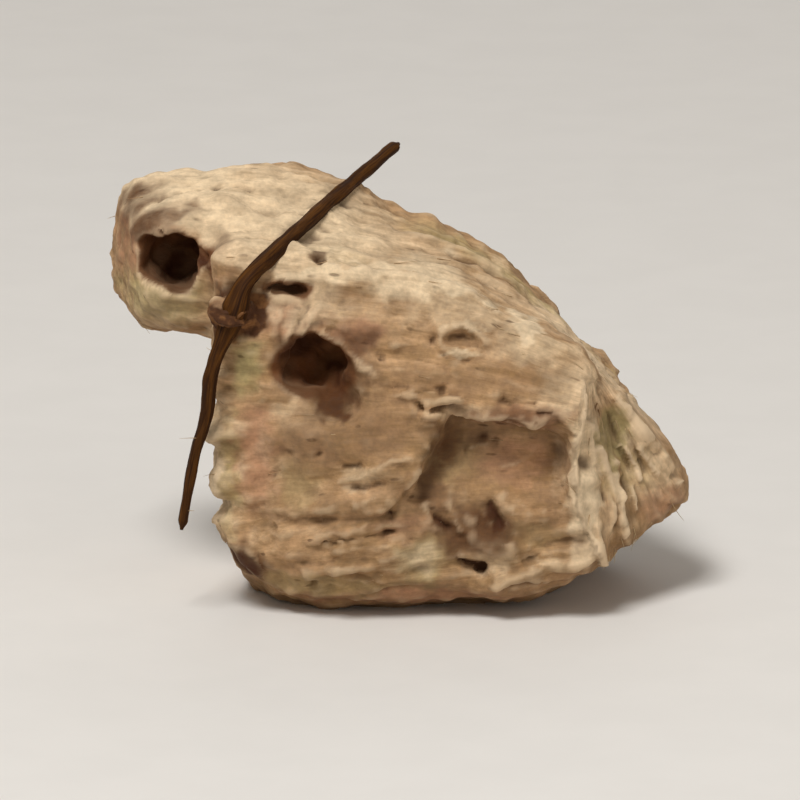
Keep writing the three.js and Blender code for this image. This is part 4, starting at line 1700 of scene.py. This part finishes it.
class RootMaterial(Finish):
    """The material of dried root while it is made: its patterns, and its colour so far."""

    def __init__(self, tones: DriedRootFinish, effects: SharedEffects) -> None:
        """Adds the patterns, and starts with bare wood.

        Args:
            tones: The finish's colours.
            effects: The shared groups.
        """
        super().__init__("dried_root")
        self.effects = effects
        self.place = self.object_place()
        self.fibre = self.attribute("fibre", "Vector")
        streaks = self.group(effects.streaks, {"Fibre": self.fibre, "Scale": 1.0})
        self.tone = streaks["Tone"]
        self.relief = streaks["Height"]
        self.clouds = self.noise(self.place, 0.7, 4.0)
        self.grain = self.noise(self.place, 6.0, 3.0)
        self.break_up = self.blend(self.clouds, 0.35, self.tone, 0.65)
        pores = self.stretch(self.spots(self.scaled(self.fibre, (0.8, 2.6, 2.6))), 0.2, 0.08)
        self.pores = self.maths("MULTIPLY", pores, self.stretch(self.clouds, 0.45, 0.62))
        self.base = self.mottled(self.break_up, 0.38, 0.62, tones.dull_wood, tones.wood)

    def ragged_mask(self, name: str, noise: Socket) -> Socket:
        """A painted attribute with its edge broken up by a noise."""
        return self.group(self.effects.ragged, {"Mask": self.attribute(name), "Noise": noise})["Mask"]

    def part_of(self, name: str, share: float) -> Socket:
        """A share of a painted attribute, within 0 and 1."""
        return self.maths("MULTIPLY", self.attribute(name), share, clamp=True)

    def cover(self, mask: Socket, layer: Value) -> None:
        """Lays a colour over the base where the mask is."""
        self.base = self.mix(mask, self.base, layer)

    def make_uneven(self) -> None:
        """Makes the base uneven with streaks, grain and blotches, and calm places less streaky."""
        calm = self.maths("MULTIPLY", self.attribute("smooth"), 0.75)
        streaky = self.stretch(self.mix_numbers(calm, self.tone, 0.5), 0.33, 0.67, 0.91, 1.08)
        grainy = self.stretch(self.grain, 0.3, 0.7, 0.9, 1.1)
        blotches = self.noise(self.scaled(self.place, (0.7, 1.0, 1.3)), 1.5, 2.0)
        blotchy = self.stretch(blotches, 0.35, 0.65, 0.88, 1.12)
        for strength in (streaky, self.maths("MULTIPLY", grainy, blotchy)):
            grey = self.add("ShaderNodeCombineColor", dict.fromkeys(range(3), strength))
            self.base = self.mix(1.0, self.base, grey, "MULTIPLY")


@dataclass(frozen=True)
class RootletBark:
    """The thin dark bark of a dried rootlet, furrowed lengthways."""

    dark: str = "2a1405"
    brown: str = "5d3810"
    worn: str = "7f5828"
    roughness: float = 0.7
    bump_depth: float = 0.03 * MM

    def material(self, effects: SharedEffects) -> bpy.types.Material:
        """Builds the material.

        Args:
            effects: The shared groups.

        Returns:
            The finish of the rootlets.
        """
        s = Finish("rootlet_bark")
        fibre = s.attribute("fibre", "Vector")
        streaks = s.group(effects.streaks, {"Fibre": fibre, "Scale": 1.4})
        base = s.mottled(streaks["Tone"], 0.38, 0.66, self.dark, self.brown)
        flecks = s.noise(s.scaled(fibre, (1.1, 3.0, 3.0)), 1.0, 3.0)
        base = s.mix(s.stretch(flecks, 0.6, 0.78, 0.0, 0.6), base, colour(self.worn))
        # Painted shade in the furrows.
        base = s.mix(s.stretch(s.attribute("furrow"), 0.45, 0.95, 0.0, 0.8), base, colour(self.dark))
        roughness = s.stretch(flecks, 0.3, 0.7, self.roughness - 0.1, self.roughness + 0.14)
        return s.done(base, roughness, 0.12, s.bump(streaks["Height"], self.bump_depth))


@dataclass(frozen=True)
class LooseFibreFinish:
    """Pale torn fibre."""

    light: str = "cbb38c"
    dark: str = "a98660"
    roughness: float = 0.8

    def material(self) -> bpy.types.Material:
        """Builds the material.

        Returns:
            The finish of loose fibre.
        """
        s = Finish("loose_fibre")
        clouds = s.noise(s.object_place(), 0.9)
        return s.done(s.mottled(clouds, 0.35, 0.65, self.dark, self.light), self.roughness, 0.3)


# Floor, light and camera


@dataclass(frozen=True)
class Lamp:
    """A square soft lamp: where it stands and how wide it is, in metres, and its power in watts."""

    name: str
    place: Triple
    size: float
    power: float

    def light_up(self, target: Triple) -> None:
        """Puts the lamp in the scene.

        Args:
            target: The point that it faces.
        """
        light = bpy.data.lights.new(self.name, "AREA")
        light.size = self.size
        light.energy = self.power
        lamp = bpy.data.objects.new(self.name, light)
        lamp.location = self.place
        lamp.rotation_euler = (Vector(target) - Vector(self.place)).to_track_quat("-Z", "Y").to_euler()
        bpy.context.scene.collection.objects.link(lamp)


@dataclass(frozen=True)
class Studio:
    """A pale floor, soft light from the upper left, and a long lens a little above the chunk."""

    elevation_deg: float = 15.0
    distance: float = 350 * MM
    view_width: float = 27.5 * MM
    look_at: Triple = (-0.15 * MM, 0.0, 6.6 * MM)
    sensor: float = 36.0
    floor_half_width: float = 1.5
    papers: tuple[str, str] = ("e1ddd7", "e3dfd9")
    sky: str = "fff8ef"
    sky_strength: float = 0.26
    lamps: tuple[Lamp, ...] = (
        Lamp("key", (-0.07, -0.14, 0.27), 0.1, 0.72),
        Lamp("fill", (0.24, -0.24, 0.1), 0.3, 0.16),
        Lamp("back", (0.05, 0.3, 0.2), 0.25, 0.16),
    )

    def build(self) -> None:
        """Makes the floor, the lamps, the sky and the camera."""
        self._floor()
        for lamp in self.lamps:
            lamp.light_up(self.look_at)
        world = bpy.data.worlds.new("studio")
        world.use_nodes = True
        sky = world.node_tree.nodes["Background"]
        sky.inputs["Color"].default_value = colour(self.sky)
        sky.inputs["Strength"].default_value = self.sky_strength
        bpy.context.scene.world = world
        bpy.context.scene.view_settings.view_transform = "Standard"
        self._camera()

    def _floor(self) -> None:
        """A wide pale sheet."""
        bm = bmesh.new()
        bmesh.ops.create_grid(bm, x_segments=8, y_segments=8, size=self.floor_half_width)
        mesh = bpy.data.meshes.new("floor")
        bm.to_mesh(mesh)
        bm.free()
        s = Finish("paper")
        clouds = s.noise(s.object_place(), 0.3)
        paper = s.done(s.mottled(clouds, 0.3, 0.7, *self.papers), 0.9, 0.5)
        placed("floor", mesh, paper)

    def _camera(self) -> None:
        """The photograph's view: level with the split face, from a little above."""
        data = bpy.data.cameras.new("camera")
        data.sensor_width = self.sensor
        data.lens = self.sensor * self.distance / self.view_width
        data.clip_start = 10 * MM
        camera = bpy.data.objects.new("camera", data)
        angle = math.radians(self.elevation_deg)
        back = Vector((0, -math.cos(angle), math.sin(angle)))
        camera.location = Vector(self.look_at) + back * self.distance
        camera.rotation_euler = (-back).to_track_quat("-Z", "Y").to_euler()
        bpy.context.scene.collection.objects.link(camera)
        bpy.context.scene.camera = camera


def joined_to_root(obj: bpy.types.Object) -> None:
    """Makes a piece ride on the chunk's body and stand for its solid.

    Args:
        obj: The piece.
    """
    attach(obj, BODY)
    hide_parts(NODE)
    log.info("%s: %d faces", obj.name, len(obj.data.polygons))


def main() -> None:
    """Builds the studio and the chunk's pieces in order."""
    logging.basicConfig(level=logging.INFO, format="%(name)s: %(message)s")
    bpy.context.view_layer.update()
    Studio().build()
    effects = SharedEffects(fibre_streaks(), ragged_edge())
    dried_root = DriedRootFinish().material(effects)
    rootlet_bark = RootletBark().material(effects)

    skin, surface = RootSkin().build(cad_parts[NODE], dried_root)
    fibres = LooseFibres().build(surface, LooseFibreFinish().material())
    surface.in_metres()
    joined_to_root(skin)
    joined_to_root(fibres)
    for path in ROOTLET_PATHS:
        joined_to_root(Rootlet(path).build(rootlet_bark))


if __name__ == "__main__":
    main()
